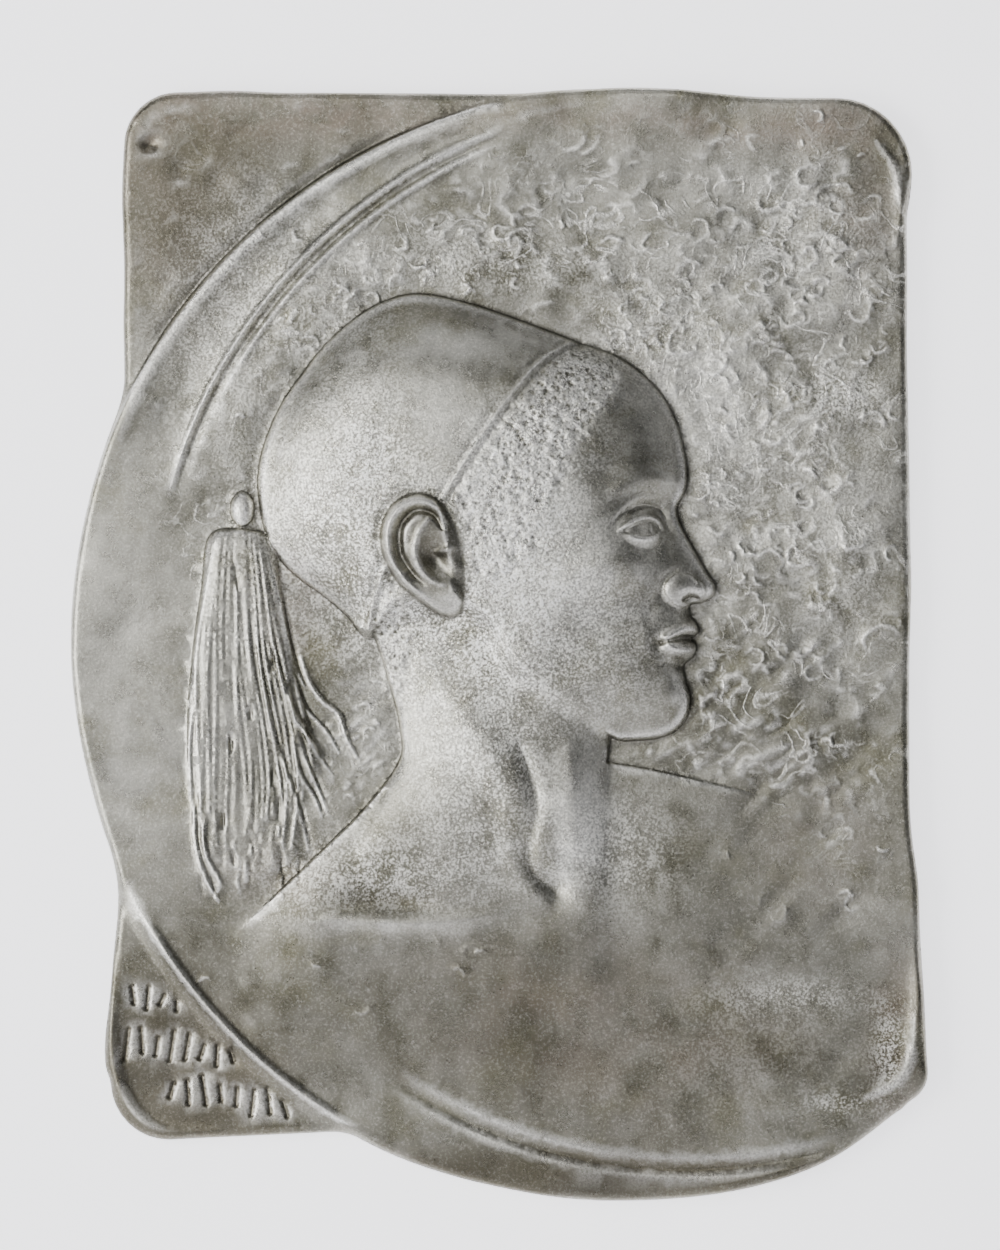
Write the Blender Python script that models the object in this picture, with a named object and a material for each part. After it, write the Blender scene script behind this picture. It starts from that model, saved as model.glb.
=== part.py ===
"""Relief plaque: a cast shell, hollow at the back, with a head in a soft cap before a crescent disc.

Metres, Z up. The plaque hangs on a wall that stands at y = 0, and its front faces -Y.
"""

import math

import bmesh
import bpy
import numpy as np
from mathutils import Vector
from mathutils.geometry import delaunay_2d_cdt


# Overall sizes. The origin is where the plaque hangs: the middle of the back rim, at its top.
SLAB_WIDTH = 0.350
SLAB_HEIGHT = 0.469
SLAB_SHIFT = 0.004          # slab's middle, to the right of the hanging point
HANG_DROP = 0.0045          # hanging point, below the slab's top edge
TOP_LEFT_RADIUS = 0.024
TOP_RIGHT_RADIUS = 0.034
BOTTOM_RIGHT_RADIUS = 0.015
BOTTOM_LEFT_RADIUS = 0.026

DISC_RADIUS = 0.2494        # great disc behind the head, reaching past the slab's left and foot
DISC_SHIFT = 0.0546         # its centre, to the right of the hanging point
DISC_DROP = 0.2423          # and below it
MOON_RADIUS = 0.2398        # inner circle that leaves the crescent
MOON_SHIFT = 0.0277         # from the disc's centre to the right
MOON_RISE = 0.0048          # and up

GROUND = 0.0130             # front of the ground, from the wall
CORNER_DROP = 0.0034        # corners outside the disc lie lower
ROLL_RADIUS = 0.0036        # edges turn back to the wall in this radius
CREST_LIFT = 0.0021         # thin crest along the crescent's inner circle
GROOVE_DEPTH = 0.0013       # groove beside it
DISH_DEPTH = 0.0012         # disc is hollowed a little towards its middle
BODY_LIFT = 0.0055          # shoulder over the ground

HEAD_HEIGHT = 0.190         # chin to the top of the forehead line
FACE_SHIFT = 0.082          # upright line through the brow, right of the hanging point
CHIN_DROP = 0.288           # chin, below the hanging point
UNIT = HEAD_HEIGHT / 190    # the figure's carving depths are counted in this unit
RANDOM_SEED = 7

# Thickness and back of the casting.
WALL = 0.0036               # least thickness of the casting
RIM_WIDTH = 0.0100          # flat back rim that rests on the wall
PAD_WIDTH = 0.0080          # extra width of the rim at the hanging point
PAD_REACH = 0.0240          # half length of that wider place
DRAFT = 0.0022              # the hollow narrows by this much to its floor
HOLLOW_SOFTNESS = 0.0045    # the hollow follows the front as softly as this
STRANDS = 11                # strands of the tassel
STRAND_LIFT = 1.5           # and their height in carving units

# Fineness of the faceted solid.
CARVING_STEP = 0.0010
OUTLINE_POINTS = 216
FRONT_FACES = 7500
HOLLOW_FACES = 1100
SEED_SPACING = 0.022

METAL_COLOUR = (0.40, 0.385, 0.355, 1.0)
METAL_ROUGHNESS = 0.42
LEAST_SIDE = 2.5            # shorter facets than this many carving steps aren't split
LEAST_ERROR = 1e-5          # nor facets that stray less than this from the carving
GROWTH = 0.16               # share of the facets split in one round

# Corners from the top left, clockwise: side, radius, and how far each is pulled right and up.
CORNERS = (
    (-1, 1, TOP_LEFT_RADIUS, 0.0000, 0.0010),
    (1, 1, TOP_RIGHT_RADIUS, 0.0034, -0.0020),
    (1, -1, BOTTOM_RIGHT_RADIUS, 0.0105, 0.0160),
    (-1, -1, BOTTOM_LEFT_RADIUS, -0.0060, 0.0000),
)
# Uneven edges of the hand-made slab: place along the side as a share, half width and swell in metres.
EDGE_WAVES = (
    ((0.08, 0.014, 0.0010), (0.39, 0.060, 0.0006), (0.59, 0.010, 0.0009), (0.65, 0.008, -0.0008),
     (0.77, 0.026, 0.0006)),
    ((0.015, 0.010, 0.0018), (0.066, 0.008, -0.0020), (0.18, 0.085, -0.0044), (0.195, 0.016, -0.0010),
     (0.46, 0.020, 0.0008), (0.62, 0.095, -0.0062), (0.70, 0.020, -0.0012), (0.79, 0.012, 0.0008)),
    ((0.60, 0.040, 0.0005),),
    ((0.035, 0.020, 0.0029), (0.19, 0.020, -0.0022), (0.30, 0.030, -0.0010), (0.74, 0.030, -0.0018),
     (0.86, 0.020, -0.0008), (0.95, 0.014, 0.0006)),
)
# Uneven edge of the disc: direction in degrees, half width in degrees, swell in metres.
DISC_WAVES = ((148, 12, 0.0025), (192, 10, -0.0010), (243, 10, 0.0024), (302, 8, -0.0080))

# The figure's lines, in shares of the head's height: forward of the brow line, and up from the chin.
PROFILE = (
    (-0.27, 0.955), (-0.16, 0.915), (-0.08, 0.850), (-0.032, 0.775), (-0.010, 0.70), (-0.002, 0.645),
    (-0.006, 0.605), (-0.026, 0.562), (-0.018, 0.525), (0.012, 0.468), (0.046, 0.408), (0.064, 0.382),
    (0.060, 0.356), (0.034, 0.340), (0.006, 0.334), (0.004, 0.312), (0.020, 0.288), (0.025, 0.270),
    (0.009, 0.253), (0.019, 0.238), (0.014, 0.214), (-0.010, 0.190), (-0.006, 0.158), (0.006, 0.118),
    (-0.002, 0.070), (-0.034, 0.034), (-0.085, 0.018), (-0.15, 0.014),
)
JAW = ((-0.22, 0.030), (-0.30, 0.062), (-0.385, 0.112), (-0.450, 0.175), (-0.500, 0.265))
NAPE = ((-0.56, 0.290), (-0.66, 0.265), (-0.752, 0.247))
CAP_BACK = (
    (-0.799, 0.303), (-0.856, 0.353), (-0.910, 0.391), (-0.955, 0.433), (-0.993, 0.497), (-1.009, 0.571),
    (-1.014, 0.635), (-1.000, 0.708), (-0.957, 0.808), (-0.903, 0.886), (-0.848, 0.954),
)
CAP_TOP = ((-0.745, 1.035), (-0.645, 1.066), (-0.52, 1.045), (-0.40, 1.005), (-0.32, 0.975))
RIM_FRONT = ((-0.262, 0.957), (-0.34, 0.905), (-0.42, 0.815), (-0.50, 0.70), (-0.575, 0.580))
RIM_BACK = ((-0.700, 0.440), (-0.738, 0.335), (-0.752, 0.247))
EAR = (
    (-0.530, 0.470), (-0.545, 0.520), (-0.575, 0.566), (-0.628, 0.592), (-0.684, 0.575), (-0.718, 0.520),
    (-0.716, 0.452), (-0.684, 0.390), (-0.630, 0.342), (-0.572, 0.308), (-0.538, 0.314), (-0.526, 0.355),
)
NECK_BACK = (
    (-0.735, 0.250), (-0.705, 0.150), (-0.680, 0.050), (-0.676, -0.02), (-0.715, -0.10), (-0.80, -0.26),
)
SHOULDER = ((-0.690, -0.060), (-0.76, -0.14), (-0.86, -0.24), (-0.97, -0.345), (-1.075, -0.445))
NECK_FRONT = ((-0.175, 0.06), (-0.188, -0.03), (-0.194, -0.12), (-0.190, -0.25), (-0.178, -0.37))
FAR_SHOULDER = ((-0.190, -0.035), (-0.06, -0.058), (0.10, -0.096), (0.17, -0.112))
TASSEL = (
    (-1.126, 0.502), (-1.147, 0.381), (-1.171, 0.204), (-1.182, 0.038), (-1.168, -0.128), (-1.140, -0.251),
    (-1.069, -0.289), (-0.993, -0.313), (-0.912, -0.242), (-0.910, -0.140), (-0.865, -0.045), (-0.889, 0.050),
    (-0.922, 0.156), (-0.941, 0.275), (-0.960, 0.393), (-0.983, 0.493), (-1.052, 0.516),
)
KNOB = (-1.050, 0.560)


def smooth(value, low, high):
    """Rises from 0 at low to 1 at high with soft ends."""
    share = np.clip((value - low) / (high - low), 0.0, 1.0)
    return share * share * (3.0 - 2.0 * share)


def soft_max(first, second, blend):
    """The higher of two forms, joined by a fillet of about this size."""
    share = np.clip(0.5 + 0.5 * (first - second) / blend, 0.0, 1.0)
    return second + (first - second) * share + blend * share * (1.0 - share)


def soft_min(first, second, blend):
    return -soft_max(-first, -second, blend)


def bell(distance, width):
    return np.exp(-(distance / width) ** 2)


def spline(points, closed=False, steps=6):
    """A smooth line through a few points (centripetal, so it makes no loops)."""
    pts = [np.array(p, float) for p in points]
    if closed:
        pts = [pts[-1]] + pts + [pts[0], pts[1]]
    else:
        pts = [2 * pts[0] - pts[1]] + pts + [2 * pts[-1] - pts[-2]]
    line = []
    for a, b, c, d in zip(pts, pts[1:], pts[2:], pts[3:]):
        ab = max(np.linalg.norm(b - a), 1e-9) ** 0.5
        bc = max(np.linalg.norm(c - b), 1e-9) ** 0.5
        cd = max(np.linalg.norm(d - c), 1e-9) ** 0.5
        into = (b - a) / ab - (c - a) / (ab + bc) + (c - b) / bc
        out = (c - b) / bc - (d - b) / (bc + cd) + (d - c) / cd
        for t in np.arange(steps) / steps:
            line.append(b + (bc * into) * (t - 2 * t * t + t ** 3) + (c - b) * (3 * t * t - 2 * t ** 3)
                        + (bc * out) * (t ** 3 - t * t))
    if not closed:
        line.append(pts[-2])
    return np.array(line)


def figure(points):
    """Turns shares of the head's height into places on the plaque."""
    shares = np.asarray(points, float)
    return np.array((FACE_SHIFT, -CHIN_DROP)) + shares * HEAD_HEIGHT


def line_distance(x, z, line, closed=False):
    """Distance to a line, and the share of its length where the nearest point lies."""
    ends = np.roll(line, -1, axis=0) if closed else line[1:]
    starts = line if closed else line[:-1]
    lengths = np.linalg.norm(ends - starts, axis=1)
    total = lengths.sum()
    best = np.full(x.shape, 1e9)
    along = np.zeros(x.shape)
    done = 0.0
    for start, end, length in zip(starts, ends, lengths):
        ex, ez = (end - start) / max(length, 1e-9)
        t = np.clip((x - start[0]) * ex + (z - start[1]) * ez, 0.0, length)
        gap = (x - start[0] - t * ex) ** 2 + (z - start[1] - t * ez) ** 2
        closer = gap < best
        best = np.where(closer, gap, best)
        along = np.where(closer, done + t, along)
        done += length
    return np.sqrt(best), along / total


def inside(x, z, polygon):
    """Even-odd test of grid places against a closed line."""
    odd = np.zeros(x.shape, bool)
    for (ax, az), (bx, bz) in zip(polygon, np.roll(polygon, -1, axis=0)):
        if az == bz:
            continue
        crosses = (z < az) != (z < bz)
        odd ^= crosses & (x < ax + (z - az) * (bx - ax) / (bz - az))
    return odd


def depth_inside(x, z, polygon):
    """Distance to a closed line, positive inside."""
    gap, _ = line_distance(x, z, polygon, closed=True)
    return np.where(inside(x, z, polygon), gap, -gap)


def quarter_round(distance, radius):
    """Height share of a round edge that is full at this distance from its line."""
    share = np.clip(distance / radius, 0.0, 1.0)
    return np.sqrt(np.clip(1.0 - (1.0 - share) ** 2, 0.0, 1.0))


def blur(values, cells):
    """Softens a grid by a bell of this many cells."""
    reach = max(int(3 * cells + 0.5), 1)
    weights = np.exp(-0.5 * (np.arange(-reach, reach + 1) / max(cells, 1e-6)) ** 2)
    weights /= weights.sum()
    padded = np.pad(values, reach, mode="edge")
    rows = sum(w * padded[i:i + values.shape[0], :] for i, w in enumerate(weights))
    return sum(w * rows[:, i:i + values.shape[1]] for i, w in enumerate(weights))


def blur_within(values, mask, cells):
    """Softens a grid inside a region only, so that its border stays."""
    weight = mask.astype(float)
    return np.where(mask, blur(values * weight, cells) / np.maximum(blur(weight, cells), 1e-6), values)


class Field:
    """A grid of heights over part of the plaque: x to the right, z up."""

    def __init__(self, xs, zs, step):
        self.xs, self.zs, self.step = xs, zs, step
        self.x, self.z = np.meshgrid(xs, zs)
        self.h = np.zeros(self.x.shape)

    def window(self, points, margin):
        low = np.min(points, axis=0) - margin
        high = np.max(points, axis=0) + margin
        left, right = np.searchsorted(self.xs, (low[0], high[0]))
        bottom, top = np.searchsorted(self.zs, (low[1], high[1]))
        return slice(bottom, top), slice(left, right)

    def patch(self, points, margin):
        """An empty field over the same cells round some points, and its place in this one."""
        rows, columns = self.window(points, margin)
        return Field(self.xs[columns], self.zs[rows], self.step), (rows, columns)

    def ridge(self, points, height, width, taper=True, steps=6):
        """Adds a soft ridge, or a groove for a negative height, along a line."""
        line = spline(points, steps=steps)
        place = self.window(line, 3 * width)
        if self.h[place].size == 0:
            return
        gap, along = line_distance(self.x[place], self.z[place], line)
        size = width * (0.35 + 0.65 * np.sin(np.pi * np.clip(along, 0, 1)) ** 0.6) if taper else width
        ends = np.sin(np.pi * np.clip(along, 0.0, 1.0)) ** 0.5 if taper else 1.0
        self.h[place] += height * ends * bell(gap, size)

    def swell(self, centre, height, reach, tilt=0.0):
        """Adds a soft swelling, or a hollow, about a place."""
        place = self.window([centre], 3 * max(reach))
        if self.h[place].size == 0:
            return
        along, across = turned(self.x[place], self.z[place], centre, tilt)
        self.h[place] += height * np.exp(-(along / reach[0]) ** 2 - (across / reach[1]) ** 2)

    def dome(self, centre, height, reach, tilt=0.0, power=2.0):
        """A round dome with a firm foot, as its own grid."""
        along, across = turned(self.x, self.z, centre, tilt)
        far = (np.abs(along / reach[0]) ** power + np.abs(across / reach[1]) ** power) ** (1.0 / power)
        return height * np.sqrt(np.clip(1.0 - far ** 2, 0.0, 1.0))

    def at(self, x, z):
        """Heights at any places, between the cells."""
        column = np.clip((x - self.xs[0]) / self.step, 0, len(self.xs) - 1.001)
        row = np.clip((z - self.zs[0]) / self.step, 0, len(self.zs) - 1.001)
        i, j = column.astype(int), row.astype(int)
        u, v = column - i, row - j
        low = self.h[j, i] * (1 - u) + self.h[j, i + 1] * u
        high = self.h[j + 1, i] * (1 - u) + self.h[j + 1, i + 1] * u
        return low * (1 - v) + high * v


def turned(x, z, centre, tilt):
    """Places seen from a centre along a tilted pair of axes."""
    c, s = math.cos(math.radians(tilt)), math.sin(math.radians(tilt))
    return (x - centre[0]) * c + (z - centre[1]) * s, (z - centre[1]) * c - (x - centre[0]) * s


def spot(share_forward, share_up):
    return figure([(share_forward, share_up)])[0]


def slab_outline():
    """The slab's uneven outline, clockwise from its top left corner."""
    left = SLAB_SHIFT - SLAB_WIDTH / 2
    foot = HANG_DROP - SLAB_HEIGHT
    places = []
    for side_x, side_z, radius, shift, rise in CORNERS:
        corner_x = left + (SLAB_WIDTH if side_x > 0 else 0.0) + shift
        corner_z = foot + (SLAB_HEIGHT if side_z > 0 else 0.0) + rise
        places.append((corner_x, corner_z, radius, side_x, side_z))
    starts = {(-1, 1): 180, (1, 1): 90, (1, -1): 0, (-1, -1): -90}
    loop = []
    for index, (cx, cz, radius, side_x, side_z) in enumerate(places):
        centre = np.array((cx - side_x * radius, cz - side_z * radius))
        for step in range(9):
            angle = math.radians(starts[(side_x, side_z)] - 90 * step / 8)
            loop.append(centre + radius * np.array((math.cos(angle), math.sin(angle))))
        nx, nz, next_radius, next_x, next_z = places[(index + 1) % 4]
        target = np.array((nx - next_x * next_radius, nz - next_z * next_radius))
        begin = loop[-1]
        angle = math.radians(starts[(next_x, next_z)])
        end = target + next_radius * np.array((math.cos(angle), math.sin(angle)))
        length = np.linalg.norm(end - begin)
        outward = np.array((-(end - begin)[1], (end - begin)[0])) / length
        for step in range(1, 60):
            share = step / 60
            swell = sum(height * math.exp(-((share - place) * length / width) ** 2)
                        for place, width, height in EDGE_WAVES[index])
            hold = min(1.0, share * length / 0.004, (1 - share) * length / 0.004)
            loop.append(begin + (end - begin) * share + outward * swell * hold)
    return np.array(loop)


def polar_radius(loop, centre, angles):
    """Reach of a star-shaped loop from a centre, at these angles."""
    away = loop - centre
    own = np.arctan2(away[:, 1], away[:, 0])
    reach = np.hypot(away[:, 0], away[:, 1])
    order = np.argsort(own)
    return np.interp(angles, own[order], reach[order], period=2 * math.pi)


def outline_reach(angles):
    """Reach of the whole plaque from the disc's centre: slab and disc together."""
    centre = np.array((DISC_SHIFT, -DISC_DROP))
    slab = polar_radius(slab_outline(), centre, angles)
    degrees = np.degrees(angles) % 360
    disc = np.full(angles.shape, DISC_RADIUS)
    for direction, width, height in DISC_WAVES:
        turn = (degrees - direction + 180) % 360 - 180
        disc = disc + height * np.exp(-(turn / width) ** 2)
    right = SLAB_SHIFT + SLAB_WIDTH / 2 - DISC_SHIFT
    side = (right + 0.001) / np.maximum(np.cos(angles), 1e-3)
    disc = soft_min(disc, side, 0.006)
    return soft_max(slab, disc, 0.004)


def outline_loop(count):
    """The outline as points, spaced so that the hanging point lies midway between two of them."""
    hang = math.atan2(DISC_DROP, -DISC_SHIFT)
    angles = hang + (np.arange(count) + 0.5) * 2 * math.pi / count
    reach = outline_reach(np.angle(np.exp(1j * angles)))
    return angles, reach


def polar_place(angles, reach):
    return np.column_stack((DISC_SHIFT + reach * np.cos(angles), -DISC_DROP + reach * np.sin(angles)))


def edge_distance(field):
    """Distance of each cell from the outline, positive inside."""
    turn = np.arctan2(field.z + DISC_DROP, field.x - DISC_SHIFT)
    away = np.hypot(field.x - DISC_SHIFT, field.z + DISC_DROP)
    angles = np.linspace(-math.pi, math.pi, 1441)
    reach = outline_reach(angles)
    slope = np.gradient(reach, angles) / reach
    near = np.interp(turn, angles, reach)
    lean = np.interp(turn, angles, np.cos(np.arctan(slope)))
    return (near - away) * lean


def disc_forms(field):
    """Corner grounds, the shallow dish and the crescent's crests and grooves."""
    x, z = field.x, field.z
    turn = np.degrees(np.arctan2(z + DISC_DROP, x - DISC_SHIFT)) % 360
    away = np.hypot(x - DISC_SHIFT, z + DISC_DROP)
    beyond = away - DISC_RADIUS
    moon = np.hypot(x - DISC_SHIFT - MOON_SHIFT, z + DISC_DROP - MOON_RISE) - MOON_RADIUS
    high = smooth(turn, 98, 112)
    lower = smooth(turn, 190, 206)
    corner = smooth(beyond, -0.0008 - 0.0012 * lower, 0.0012 + 0.0052 * lower) * high
    field.h -= CORNER_DROP * corner
    upper_left = smooth(turn, 104, 116) * (1 - smooth(turn, 150, 172))
    lower_left = smooth(turn, 208, 214) * (1 - smooth(turn, 234, 244))
    field.h -= 0.0012 * bell(beyond - 0.0020, 0.0016) * smooth(turn, 112, 118) * (1 - smooth(turn, 144, 150))
    field.h += 0.0017 * bell(beyond + 0.0014, 0.0018) * lower_left
    field.h -= 0.0006 * bell(beyond + 0.0068, 0.0034) * lower_left
    field.h += 0.0010 * bell(beyond + 0.0030, 0.0030) * upper_left
    field.h -= DISH_DEPTH * (1 - smooth(away, 0.06, 0.20))
    inner = smooth(turn, 100, 118) * (1 - smooth(turn, 152, 164))
    field.h += CREST_LIFT * bell(moon - 0.0010, 0.0016) * inner
    field.h -= GROOVE_DEPTH * bell(moon + 0.0022, 0.0018) * inner
    field.h += 0.6 * CREST_LIFT * bell(moon + 0.0052, 0.0013) * inner * (1 - smooth(turn, 138, 150))
    field.h -= 0.0010 * bell(moon - 0.0120, 0.0070) * inner * smooth(turn, 118, 130)
    foot = smooth(turn, 236, 250) * (1 - smooth(turn, 284, 300))
    field.h -= 0.8 * GROOVE_DEPTH * bell(moon + 0.0006, 0.0024) * foot
    field.h += 0.0008 * smooth(moon, 0.0, 0.0040) * foot
    field.h += 0.0005 * bell(moon + 0.0060, 0.0026) * foot


def ground_unevenness(field):
    """Broad thumbed hollows and swellings of the ground."""
    rng = np.random.default_rng(RANDOM_SEED)
    for _ in range(260):
        x = rng.uniform(field.xs[0], field.xs[-1])
        z = rng.uniform(field.zs[0], field.zs[-1])
        size = rng.uniform(0.008, 0.020)
        upper = 1.0 if z > -0.30 else 0.55
        field.swell((x, z), upper * rng.uniform(-0.0006, 0.0006), (size, size * rng.uniform(0.6, 1.0)),
                    rng.uniform(0, 180))
    for x, z, depth, size in THUMB_HOLLOWS:
        field.swell((x, z), -depth, (size, 0.8 * size), 20)
        field.swell((x, z), 0.35 * depth, (1.7 * size, 1.4 * size), 20)


# Deep thumb hollows of the corners: place right of and above the hanging point, depth, size.
THUMB_HOLLOWS = (
    (-0.159, -0.018, 0.0030, 0.0044), (-0.146, -0.030, 0.0012, 0.0070), (-0.128, -0.034, 0.0012, 0.0070),
    (-0.108, -0.038, 0.0012, 0.0065), (-0.120, -0.014, 0.0008, 0.0060), (0.146, -0.036, 0.0014, 0.0075),
    (0.128, -0.020, 0.0010, 0.0080), (0.158, -0.080, 0.0010, 0.0070), (-0.150, -0.436, 0.0010, 0.0080),
    (0.150, -0.428, 0.0010, 0.0070), (0.160, -0.150, 0.0009, 0.0090), (0.148, -0.250, 0.0009, 0.0090),
)


def bust(field):
    """Shoulders and neck, as a grid over the ground."""
    lines = np.vstack((figure(SHOULDER), figure(FAR_SHOULDER), figure(((-0.4, -0.97), (-0.66, 0.56)))))
    layer, place = field.patch(lines, 0.012)
    x, z = layer.x, layer.z
    back = np.vstack((figure([(-0.74, 0.30)]), spline(figure(NECK_BACK[:4] + SHOULDER[1:]), steps=5)))
    front = figure(((-1.00, -0.85), (-0.40, -1.00), (0.20, -0.90), (0.42, -0.55), (0.34, -0.16)))
    far = spline(figure(FAR_SHOULDER[::-1]), steps=5)
    edge = depth_inside(x, z, np.vstack((back, front, far, figure([(-0.19, 0.10)]))))
    low = figure([(0, -0.78), (0, -0.30)])[:, 1]
    left = figure([(-1.10, 0), (-0.84, 0)])[:, 0]
    right = figure([(-0.06, 0), (0.26, 0)])[:, 0]
    fade = smooth(z, low[0], low[1]) * smooth(x, left[0], left[1]) * (1 - smooth(x, right[0], right[1]))
    far_side = smooth(x, *figure([(-0.24, 0), (-0.17, 0)])[:, 0])
    lift = BODY_LIFT * fade * (1 - 0.50 * far_side)
    torso = np.where(edge > 0, lift * (0.35 + 0.65 * quarter_round(edge, 0.020)), 0.0)
    torso = blur_within(torso, edge > 0, 0.003 / layer.step)
    column = np.vstack((spline(figure(NECK_FRONT), steps=5), figure(((-0.40, -0.62), (-0.66, -0.60))),
                        spline(figure(NECK_BACK), steps=5)[::-1],
                        figure(((-0.775, 0.40), (-0.66, 0.56), (-0.30, 0.48)))))
    depth = depth_inside(x, z, column)
    stand = smooth(z, *figure([(0, -0.50), (0, -0.06)])[:, 1])
    neck = np.where(depth > 0, 15.0 * UNIT * quarter_round(depth, 44 * UNIT) * stand, 0.0)
    neck = blur(neck, 0.0020 / layer.step)
    fillet = 0.006 * smooth(np.minimum(torso, neck), 0.0, 0.004) + 1e-6
    layer.h = soft_max(torso, neck, fillet) * smooth(np.maximum(edge, depth), -0.0004, 0.0010)
    muscle = Field(layer.xs, layer.zs, layer.step)
    muscle.ridge(figure(((-0.64, 0.22), (-0.52, 0.06), (-0.42, -0.10), (-0.36, -0.26), (-0.33, -0.38))),
                 1.9 * UNIT, 0.045 * HEAD_HEIGHT)
    muscle.ridge(figure(((-0.400, 0.02), (-0.372, -0.07), (-0.360, -0.14), (-0.376, -0.22), (-0.370, -0.28),
                         (-0.325, -0.335))), -2.6 * UNIT, 0.019 * HEAD_HEIGHT)
    muscle.swell(spot(-0.316, -0.328), -4.0 * UNIT, (0.030 * HEAD_HEIGHT, 0.040 * HEAD_HEIGHT), 30)
    muscle.ridge(figure(((-0.285, 0.02), (-0.272, -0.09), (-0.270, -0.18), (-0.268, -0.27))),
                 2.3 * UNIT, 0.034 * HEAD_HEIGHT)
    muscle.ridge(figure(((-0.430, -0.12), (-0.425, -0.22), (-0.400, -0.30), (-0.350, -0.365))),
                 1.2 * UNIT, 0.022 * HEAD_HEIGHT)
    muscle.ridge(figure(((-0.87, -0.400), (-0.76, -0.408), (-0.62, -0.410), (-0.50, -0.400),
                         (-0.42, -0.385))), 2.0 * UNIT, 0.021 * HEAD_HEIGHT)
    muscle.ridge(figure(((-0.80, -0.352), (-0.70, -0.358), (-0.59, -0.362))),
                 -0.9 * UNIT, 0.026 * HEAD_HEIGHT)
    muscle.swell(spot(-0.66, -0.26), 0.9 * UNIT, (0.12 * HEAD_HEIGHT, 0.07 * HEAD_HEIGHT), -30)
    muscle.swell(spot(-0.16, -0.38), 0.8 * UNIT, (0.08 * HEAD_HEIGHT, 0.04 * HEAD_HEIGHT), -8)
    layer.h += muscle.h * smooth(np.maximum(edge, depth), 0.0, 0.004)
    field.h[place] += layer.h


def face_masses(layer):
    """Cheekbone, hollow under it, jaw corner, temple, brow, socket and eyeball."""
    size = HEAD_HEIGHT
    layer.swell(spot(-0.200, 0.425), 2.2 * UNIT, (0.110 * size, 0.050 * size), 18)
    layer.swell(spot(-0.205, 0.290), -2.4 * UNIT, (0.100 * size, 0.070 * size), 30)
    layer.swell(spot(-0.400, 0.200), 1.4 * UNIT, (0.080 * size, 0.080 * size))
    layer.swell(spot(-0.185, 0.675), -1.6 * UNIT, (0.060 * size, 0.080 * size))
    layer.swell(spot(-0.090, 0.740), 1.6 * UNIT, (0.090 * size, 0.060 * size))
    layer.ridge(figure(((-0.004, 0.612), (-0.05, 0.628), (-0.11, 0.630), (-0.19, 0.595))),
                1.9 * UNIT, 0.026 * size)
    layer.swell(spot(-0.075, 0.540), -5.2 * UNIT, (0.062 * size, 0.040 * size))
    layer.swell(spot(-0.045, 0.535), -2.8 * UNIT, (0.024 * size, 0.040 * size))
    layer.h += layer.dome(spot(-0.107, 0.518), 3.6 * UNIT, (0.050 * size, 0.043 * size))


def eye(layer):
    """Eye of a head seen from the side: lids about an open eyeball, with iris, crease and tear corner."""
    size = HEAD_HEIGHT
    opening = spline(figure(EYE_OPENING), closed=True, steps=4)
    depth = depth_inside(layer.x, layer.z, opening)
    corner = figure([(0, 0.506)])[0, 1]
    upper = smooth(layer.z, corner - 0.0008, corner + 0.0012)
    layer.h -= 1.3 * UNIT * smooth(depth, -0.0003, 0.0010)
    lids = bell(depth + 0.0011, 0.0011) * (1 - smooth(depth, -0.0003, 0.0006))
    front = figure([(-0.088, 0), (-0.058, 0)])[:, 0]
    lids *= 1 - 0.75 * smooth(layer.x, front[0], front[1]) * (1 - upper)
    layer.h += lids * (0.30 + 1.10 * upper) * UNIT
    iris = layer.dome(spot(-0.084, 0.513), 0.8 * UNIT, (0.011 * size, 0.020 * size))
    layer.h += iris * smooth(depth, 0, 0.0012)
    layer.swell(spot(-0.080, 0.514), -0.7 * UNIT, (0.0044 * size, 0.0080 * size))
    layer.ridge(figure(((-0.186, 0.512), (-0.150, 0.548), (-0.108, 0.566), (-0.070, 0.560), (-0.050, 0.536))),
                -1.3 * UNIT, 0.0070 * size)
    layer.ridge(figure(((-0.190, 0.530), (-0.145, 0.572), (-0.105, 0.588), (-0.062, 0.580))),
                0.6 * UNIT, 0.0100 * size)
    layer.ridge(figure(((-0.150, 0.478), (-0.115, 0.462), (-0.078, 0.466), (-0.048, 0.486))),
                -0.7 * UNIT, 0.0110 * size)
    layer.ridge(figure(((-0.200, 0.622), (-0.150, 0.652), (-0.095, 0.656), (-0.042, 0.638))),
                0.7 * UNIT, 0.0120 * size)


EYE_OPENING = (
    (-0.158, 0.504), (-0.130, 0.524), (-0.100, 0.533), (-0.076, 0.528), (-0.066, 0.512), (-0.078, 0.498),
    (-0.106, 0.492), (-0.136, 0.496),
)


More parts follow.
